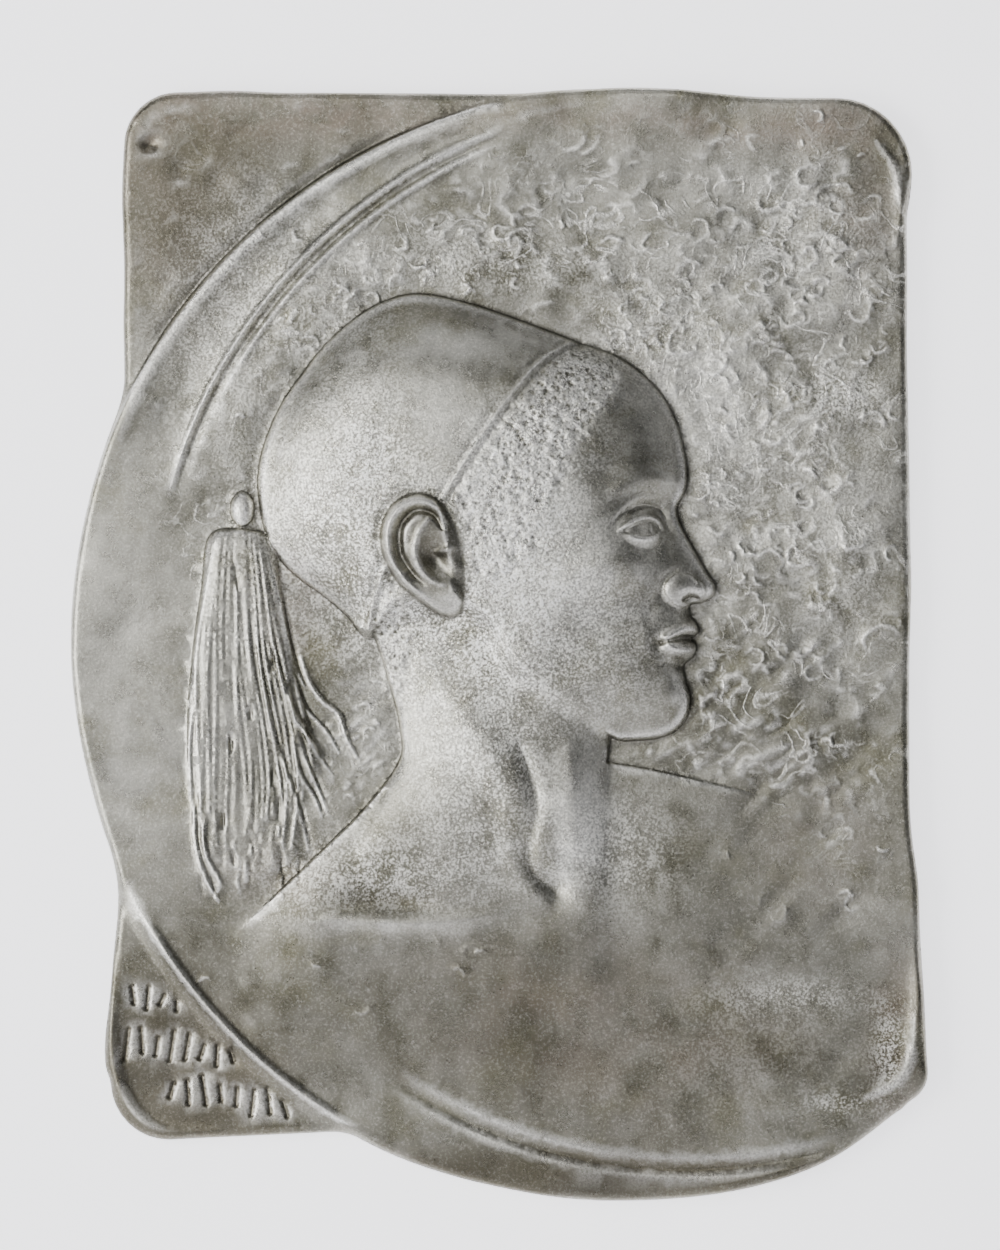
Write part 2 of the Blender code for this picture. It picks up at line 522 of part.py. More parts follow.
def nose(layer):
    """Wing, tip, nostril and the slope beside the bridge."""
    size = HEAD_HEIGHT
    layer.h += layer.dome(spot(-0.010, 0.368), 2.2 * UNIT, (0.050 * size, 0.040 * size), -14)
    layer.swell(spot(-0.018, 0.372), 1.0 * UNIT, (0.034 * size, 0.026 * size), -14)
    layer.swell(spot(0.040, 0.380), 1.2 * UNIT, (0.026 * size, 0.024 * size))
    layer.ridge(figure(((-0.026, 0.420), (-0.056, 0.398), (-0.068, 0.366), (-0.056, 0.338), (-0.030, 0.328))),
                -1.1 * UNIT, 0.0120 * size)
    layer.ridge(figure(((0.004, 0.416), (0.022, 0.392), (0.022, 0.366))), -0.6 * UNIT, 0.0090 * size)
    layer.ridge(figure(((-0.016, 0.342), (0.004, 0.350), (0.028, 0.347))), -2.8 * UNIT, 0.0075 * size)
    layer.ridge(figure(((-0.040, 0.339), (-0.022, 0.333), (0.004, 0.334))), 0.8 * UNIT, 0.0060 * size)
    layer.swell(spot(-0.058, 0.470), -1.0 * UNIT, (0.024 * size, 0.060 * size), -18)
    layer.ridge(figure(((-0.004, 0.318), (0.004, 0.300), (0.006, 0.288))), -0.8 * UNIT, 0.0075 * size)


def mouth(layer):
    """Lips, the line between them, the corner and the fold of the chin."""
    size = HEAD_HEIGHT
    lips = Field(layer.xs, layer.zs, layer.step)
    lips.ridge(figure(((0.022, 0.281), (-0.005, 0.279), (-0.035, 0.268), (-0.066, 0.250))),
               2.6 * UNIT, 0.0135 * size, False)
    lips.ridge(figure(((0.018, 0.229), (-0.008, 0.226), (-0.036, 0.233), (-0.060, 0.246))),
               2.9 * UNIT, 0.0150 * size, False)
    fade = figure([(-0.074, 0), (-0.042, 0)])[:, 0]
    layer.h += lips.h * smooth(layer.x, fade[0], fade[1])
    layer.ridge(figure(((0.018, 0.2530), (-0.012, 0.2565), (-0.038, 0.2520), (-0.066, 0.2455))),
                -2.2 * UNIT, 0.0056 * size, False)
    layer.swell(spot(-0.076, 0.245), -1.3 * UNIT, (0.014 * size, 0.018 * size))
    layer.swell(spot(-0.102, 0.245), 0.8 * UNIT, (0.020 * size, 0.040 * size))
    layer.ridge(figure(((-0.062, 0.372), (-0.088, 0.330), (-0.102, 0.280))), -0.7 * UNIT, 0.0140 * size)
    layer.ridge(figure(((0.004, 0.190), (-0.025, 0.193), (-0.058, 0.203))), -2.0 * UNIT, 0.0160 * size)
    layer.swell(spot(-0.030, 0.108), 2.2 * UNIT, (0.050 * size, 0.048 * size))


def ear(field):
    """Shell of the ear with its rim, inner fold, hollow, flap and lobe."""
    size = HEAD_HEIGHT
    loop = spline(figure(EAR), closed=True, steps=5)
    layer, place = field.patch(loop, 0.006)
    edge = depth_inside(layer.x, layer.z, loop)
    ahead = smooth(layer.x, *figure([(-0.600, 0), (-0.545, 0)])[:, 0])
    ahead = ahead * smooth(layer.z, *figure([(0, 0.335), (0, 0.400)])[:, 1])
    raised = smooth(edge, -0.0004, 0.0016 + 0.0085 * ahead)
    parts = Field(layer.xs, layer.zs, layer.step)
    parts.ridge(figure(((-0.545, 0.462), (-0.556, 0.510), (-0.580, 0.552), (-0.627, 0.575), (-0.674, 0.560),
                        (-0.702, 0.515), (-0.700, 0.452), (-0.670, 0.398), (-0.620, 0.352))),
                2.5 * UNIT, 0.0092 * size)
    parts.ridge(figure(((-0.575, 0.505), (-0.600, 0.545), (-0.640, 0.552), (-0.674, 0.518), (-0.676, 0.458),
                        (-0.650, 0.410), (-0.618, 0.380))), -3.2 * UNIT, 0.0098 * size)
    parts.ridge(figure(((-0.605, 0.540), (-0.632, 0.500), (-0.640, 0.455), (-0.622, 0.412), (-0.590, 0.384),
                        (-0.566, 0.378))), 1.8 * UNIT, 0.0100 * size)
    parts.swell(spot(-0.592, 0.440), -6.4 * UNIT, (0.028 * size, 0.040 * size), 12)
    parts.swell(spot(-0.562, 0.410), -1.8 * UNIT, (0.018 * size, 0.022 * size))
    parts.ridge(figure(((-0.541, 0.475), (-0.565, 0.462), (-0.598, 0.455))), 2.2 * UNIT, 0.0085 * size)
    parts.swell(spot(-0.535, 0.418), 3.0 * UNIT, (0.016 * size, 0.022 * size))
    parts.swell(spot(-0.565, 0.345), 1.0 * UNIT, (0.026 * size, 0.022 * size))
    under = blur(field.h[place], 3.0 * UNIT / field.step)
    field.h[place] += (under - field.h[place]) * smooth(edge, -0.0012, 0.0012)
    field.h[place] += 4.6 * UNIT * raised + parts.h * raised
    field.h[place] -= 0.9 * UNIT * bell(edge + 0.0016, 0.0016) * (1 - raised) * (1 - ahead)


def head(field):
    """Skull, face, cap and ear, laid over the neck."""
    loop = np.vstack((spline(figure(PROFILE), steps=6),
                      spline(figure(JAW + NAPE + CAP_BACK + CAP_TOP), steps=6)))
    layer, place = field.patch(loop, 0.008)
    x, z, cells = layer.x, layer.z, 1.0 / layer.step
    edge = depth_inside(x, z, loop)
    within = edge > 0
    free = np.vstack((spline(figure(CAP_BACK + CAP_TOP), steps=6), spline(figure(PROFILE), steps=6)))
    free_edge, _ = line_distance(x, z, free)
    size = HEAD_HEIGHT
    skull = layer.dome(spot(-0.50, 0.63), 26.0 * UNIT, (0.53 * size, 0.47 * size), 0, 2.6)
    face = layer.dome(spot(-0.335, 0.40), 22.5 * UNIT, (0.385 * size, 0.44 * size), 8, 2.6)
    mass = soft_max(skull, face, 7.0 * UNIT) * quarter_round(free_edge, 40 * UNIT)
    muzzle = layer.dome(spot(-0.12, 0.23), 13.5 * UNIT, (0.160 * size, 0.19 * size), 0, 2.2)
    mass = soft_max(mass, muzzle, 6.0 * UNIT)
    bridge = layer.dome(spot(-0.01, 0.44), 8.5 * UNIT, (0.085 * size, 0.17 * size), -14)
    layer.h = blur_within(soft_max(mass, bridge, 4.0 * UNIT), within, 4.0 * UNIT * cells)
    face_masses(layer)
    layer.h = blur_within(layer.h, within, 1.2 * UNIT * cells)
    thin = 5.0 * UNIT * quarter_round(free_edge, 4.0 * UNIT)
    rounded = soft_max(layer.h * quarter_round(free_edge, 9.0 * UNIT), thin, 2.0 * UNIT)
    layer.h = np.where(within, rounded, 0.0)
    layer.h *= 0.84 + 0.16 * quarter_round(edge, 9.0 * UNIT)
    marks = Field(layer.xs, layer.zs, layer.step)
    eye(marks)
    nose(marks)
    mouth(marks)
    layer.h += marks.h * smooth(edge, -0.0003, 0.0020)
    shell = np.vstack((spline(figure(RIM_BACK[-1:] + CAP_BACK + CAP_TOP + RIM_FRONT[:1]), steps=6),
                       spline(figure(RIM_FRONT), steps=6), spline(figure(RIM_BACK), steps=6)))
    cloth = depth_inside(x, z, shell)
    layer.h += 1.5 * UNIT * smooth(cloth, -0.0005, 0.0010)
    for points in (RIM_FRONT, RIM_BACK):
        gap, _ = line_distance(x, z, spline(figure(points), steps=6))
        layer.h += 0.9 * UNIT * bell(gap, 1.15 * UNIT)
        layer.h -= 0.5 * UNIT * bell(gap - 2.4 * UNIT, 1.2 * UNIT)
    below = field.h[place]
    base = GROUND - 0.4 * DISH_DEPTH
    halo = 0.0005 * bell(edge + 0.0026, 0.0026) * (1 - smooth(edge, -0.0006, 0.0))
    halo *= 1 - smooth(free_edge, 0.004, 0.012)
    raised = np.maximum(base + layer.h, below)
    aside, above = turned(x, z, spot(-0.655, 0.265), 0)
    under_ear = np.exp(-(aside / (0.085 * size)) ** 2 - (above / (0.10 * size)) ** 2)
    inner = smooth(free_edge, 0.003, 0.024)
    blend = smooth(edge, -0.0006 * (1 - inner), 0.0009 + (0.0105 + 0.0150 * under_ear) * inner)
    field.h[place] = below * (1 - blend) + raised * blend - halo
    ear(field)


def strand_paths(count):
    """Wavy strands of the tassel from its knot to its ragged end, with their lift in carving units."""
    rng = np.random.default_rng(RANDOM_SEED + 1)
    heights = np.array((0.505, 0.36, 0.20, 0.05, -0.10, -0.22, -0.31))
    left = np.array((-1.112, -1.140, -1.158, -1.168, -1.165, -1.150, -1.120))
    right = np.array((-0.996, -0.962, -0.925, -0.888, -0.866, -0.890, -0.915))
    paths = []
    for index in range(count):
        share = (index + 0.5 + rng.uniform(-0.3, 0.3)) / count
        wave = rng.uniform(0.010, 0.030)
        phase = rng.uniform(0, 6.28)
        end = rng.uniform(0.76, 1.0)
        line = []
        for part in np.linspace(0, 1, 9):
            height = 0.505 + end * part * (heights[-1] - 0.505)
            place = share + wave * math.sin(phase + 8 * part) * min(1.0, 3 * part)
            place += 0.04 * math.sin(3.2 * part) * math.sin(6.28 * share)
            low = np.interp(height, heights[::-1], left[::-1])
            high = np.interp(height, heights[::-1], right[::-1])
            line.append((low + (high - low) * place, height))
        paths.append((figure(line), STRAND_LIFT * rng.uniform(0.55, 1.15) * (0.7 + 0.5 * share)))
    return paths


def tassel(field):
    """Knob and body of the tassel, with its strands."""
    size = HEAD_HEIGHT
    loop = spline(figure(TASSEL), closed=True, steps=5)
    layer, place = field.patch(np.vstack((loop, figure([(-1.06, 0.62), (-0.74, -0.42)]))), 0.006)
    edge = depth_inside(layer.x, layer.z, loop)
    fall = figure([(0, -0.30), (0, 0.45)])[:, 1]
    lift = (0.9 + 3.6 * smooth(layer.z, fall[0], fall[1])) * UNIT
    layer.h = lift * quarter_round(np.clip(edge, 0, None), 9 * UNIT) * smooth(edge, -0.0004, 0.0012)
    strands = Field(layer.xs, layer.zs, layer.step)
    for line, height in strand_paths(STRANDS):
        strands.ridge(line, height * UNIT, 0.30 * 0.26 * size / STRANDS, False, 2)
    fade = smooth(layer.z, *figure([(0, -0.32), (0, -0.18)])[:, 1])
    layer.h += strands.h * smooth(edge, -0.003, 0.001) * (0.5 + 0.5 * fade)
    stray = (
        ((-0.915, 0.22), (-0.893, 0.153), (-0.860, 0.105), (-0.826, 0.078), (-0.805, 0.02), (-0.772, -0.04)),
        ((-0.945, 0.13), (-0.915, 0.05), (-0.875, 0.00), (-0.855, -0.04)),
        ((-1.160, -0.12), (-1.163, -0.20), (-1.145, -0.29), (-1.105, -0.368)),
        ((-1.138, -0.16), (-1.140, -0.24), (-1.100, -0.325)),
    )
    for points in stray:
        layer.ridge(figure(points), 1.5 * UNIT, 0.0065 * size)
    round_knob = layer.dome(spot(*KNOB), 1.0, (0.060 * size, 0.062 * size))
    layer.h -= 1.6 * UNIT * round_knob * (1 - smooth(layer.h, 0.0, 0.001))
    layer.h = np.maximum(layer.h, layer.dome(spot(*KNOB), 5.0 * UNIT, (0.029 * size, 0.042 * size)))
    layer.ridge(figure(((-1.085, 0.527), (-1.055, 0.517), (-1.022, 0.527))), 1.5 * UNIT, 0.012 * size)
    field.h[place] += layer.h


def edge_rolls(field):
    """Heavier turned lips at the top right and lower left corners, and waves along the left edge."""
    left = SLAB_SHIFT - SLAB_WIDTH / 2
    right = left + SLAB_WIDTH
    foot = HANG_DROP - SLAB_HEIGHT
    field.ridge(((right - 0.014, -0.016), (right - 0.0045, -0.030), (right - 0.0022, -0.050),
                 (right - 0.0046, -0.066)), 0.0013, 0.0024)
    field.ridge(((left - 0.0045, foot + 0.085), (left - 0.0055, foot + 0.050), (left - 0.0015, foot + 0.024),
                 (left + 0.014, foot + 0.0055), (left + 0.045, foot + 0.0040)), 0.0018, 0.0030)
    field.ridge(((right + 0.004, foot + 0.090), (right + 0.0055, foot + 0.060), (right - 0.001, foot + 0.030),
                 (right - 0.020, foot + 0.018)), 0.0014, 0.0032)


def stroke_lines():
    """Rows of short strokes where the maker's words stand; they are no letters."""
    rng = np.random.default_rng(RANDOM_SEED + 2)
    lines = []
    for start_x, start_z, length, count, tall in STROKE_ROWS:
        for index in range(count):
            x = start_x + length * (index + 0.5) / count
            z = start_z - 0.16 * (x - start_x) + rng.uniform(-0.0018, 0.0018)
            lean = rng.uniform(-0.0011, 0.0011)
            half = tall * rng.uniform(0.17, 0.42)
            lines.append(np.array(((x - lean, z - half), (x + lean, z + half))))
    return lines


def inscription(field):
    for line in stroke_lines():
        field.ridge(line, -STROKE_DEPTH, 0.0011, False, 2)


STROKE_DEPTH = 0.0014
# Rows of strokes: left end, height, length, number and stroke height.
STROKE_ROWS = (
    (-0.170, -0.400, 0.026, 4, 0.012),
    (-0.173, -0.419, 0.054, 8, 0.016),
    (-0.153, -0.440, 0.058, 8, 0.016),
)


def relief(step):
    """Front heights over the wall for the whole plaque."""
    angles, reach = outline_loop(720)
    loop = polar_place(angles, reach)
    low, high = loop.min(axis=0) - 0.004, loop.max(axis=0) + 0.004
    field = Field(np.arange(low[0], high[0], step), np.arange(low[1], high[1], step), step)
    field.h += GROUND
    ground_unevenness(field)
    disc_forms(field)
    bust(field)
    head(field)
    tassel(field)
    inscription(field)
    edge_rolls(field)
    return field, edge_distance(field)


def turn_edges(heights, edge):
    """Rolls the front back to the wall round the outline."""
    return heights - ROLL_RADIUS * (1.0 - quarter_round(edge, ROLL_RADIUS))


def sample_shares(order):
    """Even places inside a triangle, clear of its sides, as shares of its three corners."""
    return np.array([(i, j, order - i - j) for i in range(1, order) for j in range(1, order - i)]) / order


def triangulate(points, edges):
    """Triangles over flat points, kept inside the closed edges."""
    flat = [Vector((p[0], p[1])) for p in points]
    out = delaunay_2d_cdt(flat, edges, [], 1, 1e-6)
    return np.array([(v.x, v.y) for v in out[0]]), np.array(out[2]), out[3]


def refine(field, loop, seeds, lines, weight, budget):
    """Triangles over a loop, with points added where flat facets stray most from the carving."""
    count = len(loop)
    fixed = [loop, seeds]
    edges = [(i, (i + 1) % count) for i in range(count)]
    total = count + len(seeds)
    for line in lines:
        edges += [(total + i, total + i + 1) for i in range(len(line) - 1)]
        fixed.append(line)
        total += len(line)
    points = np.vstack([part for part in fixed if len(part)])
    shares = sample_shares(8)
    while True:
        places, faces, origin = triangulate(points, edges)
        if len(faces) >= budget:
            return places, faces, origin
        corners = places[faces]
        spots = np.einsum("sk,fkc->fsc", shares, corners)
        true = field.at(spots[..., 0], spots[..., 1])
        flat = np.einsum("sk,fk->fs", shares, field.at(corners[..., 0], corners[..., 1]))
        error = np.abs(true - flat) * weight(spots[..., 0], spots[..., 1])
        worst = error.argmax(axis=1)
        size = error[np.arange(len(faces)), worst]
        side = np.linalg.norm(corners - np.roll(corners, 1, axis=1), axis=2).max(axis=1)
        size = np.where(side > LEAST_SIDE * field.step, size, 0.0)
        room = max(int((budget - len(faces)) / 2) + 1, 1)
        take = np.argsort(-size)[:min(room, max(60, int(GROWTH * len(faces))))]
        take = take[size[take] > LEAST_ERROR]
        if len(take) == 0:
            return places, faces, origin
        points = np.vstack((points, spots[take, worst[take]]))


def beside(line, offset):
    """The same line, moved to its left by an offset."""
    along = np.gradient(line, axis=0)
    along /= np.maximum(np.linalg.norm(along, axis=1, keepdims=True), 1e-9)
    return line + offset * np.column_stack((-along[:, 1], along[:, 0]))


def arc(centre, radius, first, last, count):
    angles = np.radians(np.linspace(first, last, count))
    return np.column_stack((centre[0] + radius * np.cos(angles), centre[1] + radius * np.sin(angles)))


def carving_lines():
    """Lines that facets must follow: contours, the cap's cord, the ear, the tassel and the crescent."""
    contour = np.vstack((spline(figure(CAP_BACK + CAP_TOP), steps=2), spline(figure(PROFILE), steps=2)))
    neck_back = spline(figure(NECK_BACK[:4] + SHOULDER[1:]), steps=3)
    ear_loop = spline(figure(EAR), closed=True, steps=2)
    tassel_loop = spline(figure(TASSEL), closed=True, steps=3)
    lines = []
    for line, low, high in (
        (contour, 0.0006, -0.0016),
        (neck_back, -0.0004, 0.0014),
        (spline(figure(NECK_FRONT[1:]), steps=3), 0.0004, -0.0014),
        (spline(figure(PROFILE[-1:] + JAW), steps=3), 0.0026, -0.0030),
        (spline(figure(FAR_SHOULDER), steps=3), 0.0004, -0.0014),
        (np.vstack((ear_loop, ear_loop[:1])), -0.0004, 0.0016),
        (np.vstack((tassel_loop, tassel_loop[:1])), -0.0004, 0.0014),
    ):
        lines += [beside(line, low), beside(line, high)]
    for points, steps in ((RIM_FRONT, 3), (RIM_BACK, 3)):
        cord = spline(figure(points), steps=steps)
        lines += [cord, beside(cord, 0.0019), beside(cord, -0.0019)]
    for stroke in stroke_lines():
        lines += [stroke, beside(stroke, 0.0020), beside(stroke, -0.0020)]
    strands = [path[1:] for path, _ in strand_paths(STRANDS)]
    lines += strands
    lines += [(first + second) / 2 for first, second in zip(strands, strands[1:])]
    disc = (DISC_SHIFT, -DISC_DROP)
    moon = (DISC_SHIFT + MOON_SHIFT, -DISC_DROP + MOON_RISE)
    lines.append(arc(disc, DISC_RADIUS + 0.0012, 106, 144, 20))
    lines.append(arc(disc, DISC_RADIUS - 0.0008, 106, 144, 20))
    lines.append(arc(moon, MOON_RADIUS + 0.0010, 110, 160, 24))
    lines.append(arc(moon, MOON_RADIUS - 0.0026, 112, 160, 24))
    lines.append(arc(moon, MOON_RADIUS - 0.0006, 240, 296, 24))
    lines.append(arc(moon, MOON_RADIUS + 0.0028, 240, 296, 24))
    lines.append(arc(disc, DISC_RADIUS + 0.0012, 206, 246, 26))
    lines.append(arc(disc, DISC_RADIUS - 0.0014, 206, 246, 26))
    lines.append(arc(disc, DISC_RADIUS - 0.0042, 206, 246, 26))
    return lines


def inset(angles, reach, width, softness=1):
    """A loop inside the outline by this width, softened so that it never doubles back."""
    long_angles = np.concatenate((angles[-8:] - 2 * math.pi, angles, angles[:8] + 2 * math.pi))
    long_reach = np.concatenate((reach[-8:], reach, reach[:8]))
    lean = np.cos(np.arctan(np.gradient(long_reach, long_angles) / long_reach))[8:-8]
    inner = reach - width / lean
    for _ in range(softness):
        inner = (np.roll(inner, 1) + 2 * inner + np.roll(inner, -1)) / 4
    return inner


def clear_of_edge(lines, angles, reach, margin):
    """The stretches of the lines that stay clear of the outline."""
    kept = []
    for line in lines:
        away = line - np.array((DISC_SHIFT, -DISC_DROP))
        turn = np.arctan2(away[:, 1], away[:, 0])
        room = np.interp(turn, np.angle(np.exp(1j * angles)), reach, period=2 * math.pi) - np.hypot(*away.T)
        stretch = []
        for point, gap in zip(line, room):
            if gap > margin:
                stretch.append(point)
                continue
            if len(stretch) > 1:
                kept.append(np.array(stretch))
            stretch = []
        if len(stretch) > 1:
            kept.append(np.array(stretch))
    return kept


def hollow_field(front):
    """Depth of the hollow behind the relief, at least a wall away from the front."""
    reach = max(int(round((WALL + 0.7 * HOLLOW_SOFTNESS) / front.step)), 1)
    low = front.h.copy()
    for axis in (0, 1):
        shifted = [np.roll(low, shift, axis=axis) for shift in range(-reach, reach + 1)]
        low = np.minimum.reduce(shifted)
    hollow = Field(front.xs, front.zs, front.step)
    hollow.h = blur(low, HOLLOW_SOFTNESS / front.step) - WALL
    return hollow


def seed_places(angles, reach, margin):
    """Loose starting places over the plaque, away from its edge."""
    loop = polar_place(angles, reach - margin)
    low, high = loop.min(axis=0), loop.max(axis=0)
    across, up = np.meshgrid(np.arange(low[0], high[0], SEED_SPACING),
                             np.arange(low[1], high[1], SEED_SPACING))
    rng = np.random.default_rng(RANDOM_SEED + 3)
    across = across + rng.uniform(-0.3, 0.3, across.shape) * SEED_SPACING
    up = up + rng.uniform(-0.3, 0.3, up.shape) * SEED_SPACING
    keep = inside(across, up, loop)
    return np.column_stack((across[keep], up[keep]))


def figure_weight(x, z):
    """The head counts most when facets are shared out."""
    face = np.exp(-((x - spot(-0.10, 0)[0]) / 0.045) ** 2 - ((z - spot(0, 0.36)[1]) / 0.065) ** 2)
    ear_near = np.exp(-((x - spot(-0.60, 0)[0]) / 0.022) ** 2 - ((z - spot(0, 0.45)[1]) / 0.030) ** 2)
    return 1.0 + 2.5 * face + 0.6 * ear_near


def add_verts(body, field, places):
    """Vertices at these places, as far in front of the wall as the field says."""
    return [body.verts.new((x, -height, z)) for (x, z), height in zip(places, field.at(*places.T))]


def plaque_mesh():
    """Front, turned edge, back rim and hollow as one closed mesh."""
    front, edge = relief(CARVING_STEP)
    front.h = turn_edges(front.h, edge)
    hollow = hollow_field(front)
    angles, reach = outline_loop(OUTLINE_POINTS)
    outline = polar_place(angles, reach)
    rolls = []
    for share, skip, softness in ((0.32, 1, 0), (1.15, 2, 2)):
        roll = polar_place(angles, inset(angles, reach, share * ROLL_RADIUS, softness))[::skip]
        rolls.append(np.vstack((roll, roll[:1])))
    lines = rolls + clear_of_edge(carving_lines(), angles, reach, 1.6 * ROLL_RADIUS)
    places, faces, origin = refine(front, outline, seed_places(angles, reach, 0.012), lines, figure_weight,
                                   FRONT_FACES)
    pad = PAD_WIDTH * np.exp(-((outline[:, 0]) / PAD_REACH) ** 2) * (outline[:, 1] > -0.1)
    rim = inset(angles, reach, RIM_WIDTH + pad, 3)
    floor = rim - DRAFT
    floor_loop = polar_place(angles, floor)
    floor_places, floor_faces, floor_origin = refine(
        hollow, floor_loop, seed_places(angles, floor, 0.010), [], lambda x, z: 1.0, HOLLOW_FACES)

    body = bmesh.new()
    count = OUTLINE_POINTS
    front_verts = add_verts(body, front, places)
    floor_verts = add_verts(body, hollow, floor_places)
    wall_loop = [body.verts.new((x, 0.0, z)) for x, z in outline]
    rim_loop = [body.verts.new((x, 0.0, z)) for x, z in polar_place(angles, rim)]
    front_loop = loop_verts(front_verts, origin, count)
    floor_edge = loop_verts(floor_verts, floor_origin, count)
    for a, b, c in faces:
        body.faces.new((front_verts[a], front_verts[b], front_verts[c]))
    for a, b, c in floor_faces:
        body.faces.new((floor_verts[c], floor_verts[b], floor_verts[a]))
    for i in range(count):
        j = (i + 1) % count
        body.faces.new((front_loop[i], wall_loop[i], wall_loop[j], front_loop[j]))
        body.faces.new((wall_loop[i], rim_loop[i], rim_loop[j], wall_loop[j]))
        body.faces.new((rim_loop[i], floor_edge[i], floor_edge[j], rim_loop[j]))
    bmesh.ops.recalc_face_normals(body, faces=body.faces)
    mesh = bpy.data.meshes.new("plaque")
    body.to_mesh(mesh)
    body.free()
    return mesh


def loop_verts(verts, origin, count):
    """Finds the border's vertices again after triangulation."""
    found = [None] * count
    for vert, sources in zip(verts, origin):
        for source in sources:
            if source < count:
                found[source] = vert
    return found


def metal():
    """Dull grey cast metal."""
    material = bpy.data.materials.new("Antique pewter")
    material.use_nodes = True
    shader = material.node_tree.nodes["Principled BSDF"]
    shader.inputs["Base Color"].default_value = METAL_COLOUR
    shader.inputs["Metallic"].default_value = 1.0
    shader.inputs["Roughness"].default_value = METAL_ROUGHNESS
    material.diffuse_color = METAL_COLOUR
    return material


def main():
    for item in list(bpy.data.objects):
        bpy.data.objects.remove(item, do_unlink=True)
    collection = bpy.data.collections.new("Relief_plaque")
    bpy.context.scene.collection.children.link(collection)
    plaque = bpy.data.objects.new("plaque", plaque_mesh())
    plaque.data.materials.append(metal())
    for face in plaque.data.polygons:
        face.use_smooth = True
    collection.objects.link(plaque)


main()
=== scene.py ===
"""Looks of the relief plaque: fine carving, worn pewter, stage, light and camera.

Metres, Z up, front to -Y.
"""

import math

import bmesh
import bpy
import numpy as np
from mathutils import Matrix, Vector
from mathutils.geometry import delaunay_2d_cdt


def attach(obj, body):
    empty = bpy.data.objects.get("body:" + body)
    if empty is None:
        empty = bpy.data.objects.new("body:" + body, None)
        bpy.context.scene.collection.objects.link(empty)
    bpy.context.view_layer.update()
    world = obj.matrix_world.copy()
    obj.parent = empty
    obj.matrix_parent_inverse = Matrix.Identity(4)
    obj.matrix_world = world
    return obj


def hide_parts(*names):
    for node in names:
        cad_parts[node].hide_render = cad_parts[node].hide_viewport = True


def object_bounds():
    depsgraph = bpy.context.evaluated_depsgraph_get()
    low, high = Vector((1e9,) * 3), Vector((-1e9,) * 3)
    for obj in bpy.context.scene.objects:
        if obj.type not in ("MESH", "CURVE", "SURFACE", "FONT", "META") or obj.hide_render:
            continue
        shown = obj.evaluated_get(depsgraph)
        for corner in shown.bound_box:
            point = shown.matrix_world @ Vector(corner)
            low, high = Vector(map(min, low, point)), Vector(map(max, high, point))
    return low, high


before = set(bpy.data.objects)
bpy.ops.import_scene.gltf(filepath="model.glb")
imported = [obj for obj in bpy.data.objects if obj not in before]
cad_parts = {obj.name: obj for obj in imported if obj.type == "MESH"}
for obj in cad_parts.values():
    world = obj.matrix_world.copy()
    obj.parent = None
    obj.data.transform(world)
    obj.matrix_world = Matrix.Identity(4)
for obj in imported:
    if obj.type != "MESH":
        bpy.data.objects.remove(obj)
cad_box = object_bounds()

# Overall sizes. The origin is where the plaque hangs: the middle of the back rim, at its top.
SLAB_WIDTH = 0.350
SLAB_HEIGHT = 0.469
SLAB_SHIFT = 0.004          # slab's middle, to the right of the hanging point
HANG_DROP = 0.0045          # hanging point, below the slab's top edge
TOP_LEFT_RADIUS = 0.024
TOP_RIGHT_RADIUS = 0.034
BOTTOM_RIGHT_RADIUS = 0.015
BOTTOM_LEFT_RADIUS = 0.026

DISC_RADIUS = 0.2494        # great disc behind the head, reaching past the slab's left and foot
DISC_SHIFT = 0.0546         # its centre, to the right of the hanging point
DISC_DROP = 0.2423          # and below it
MOON_RADIUS = 0.2398        # inner circle that leaves the crescent
MOON_SHIFT = 0.0277         # from the disc's centre to the right
MOON_RISE = 0.0048          # and up

GROUND = 0.0130             # front of the ground, from the wall
CORNER_DROP = 0.0034        # corners outside the disc lie lower
ROLL_RADIUS = 0.0036        # edges turn back to the wall in this radius
CREST_LIFT = 0.0021         # thin crest along the crescent's inner circle
GROOVE_DEPTH = 0.0013       # groove beside it
DISH_DEPTH = 0.0012         # disc is hollowed a little towards its middle
BODY_LIFT = 0.0055          # shoulder over the ground

HEAD_HEIGHT = 0.190         # chin to the top of the forehead line
FACE_SHIFT = 0.082          # upright line through the brow, right of the hanging point
CHIN_DROP = 0.288           # chin, below the hanging point
UNIT = HEAD_HEIGHT / 190    # the figure's carving depths are counted in this unit
RANDOM_SEED = 7

WALL = 0.0036               # least thickness of the casting
RIM_WIDTH = 0.0100          # flat back rim that rests on the wall
PAD_WIDTH = 0.0080          # extra width of the rim at the hanging point
PAD_REACH = 0.0240          # half length of that wider place
DRAFT = 0.0022              # the hollow narrows by this much to its floor
HOLLOW_SOFTNESS = 0.0045    # the hollow follows the front as softly as this
STRANDS = 22                # strands of the tassel
STRAND_LIFT = 0.85          # and their height in carving units

PRESSES = 1500              # finger presses over the ground
SINGLE_CURLS = 520          # single crests among them
CROWDED_TRIES = 4200        # places tried for the small crests near the cap and the brow
SCRAPES = 120               # scrapes of the upper left corner
STREAKS = 70                # brushed streaks of the crescent
HAIR_MARKS = 1000           # curls of the hair
NAPE_MARKS = 300            # and of the hair at the nape
CLOTH_MARKS = 700           # stitches of the cap, raised and again sunk
WISPS = 26                  # ragged ends of the tassel

CARVING_STEP = 0.0005       # between the places where the carving is worked out
OUTLINE_POINTS = 864        # points of the mesh's outline
GRID_OUTLINE_POINTS = 720   # points of the outline that the carving's grid is laid round
GRID_MARGIN = 0.004         # the grid reaches this far past the outline
FRONT_FACES = 180000
HOLLOW_FACES = 9000
SEED_SPACING = 0.004        # between the loose starting points of the mesh
LEAST_SIDE = 1.2            # shorter facets than this many carving steps aren't split
LEAST_ERROR = 2e-6          # nor facets that stray less than this from the carving
GROWTH = 0.33               # share of the facets split in one round

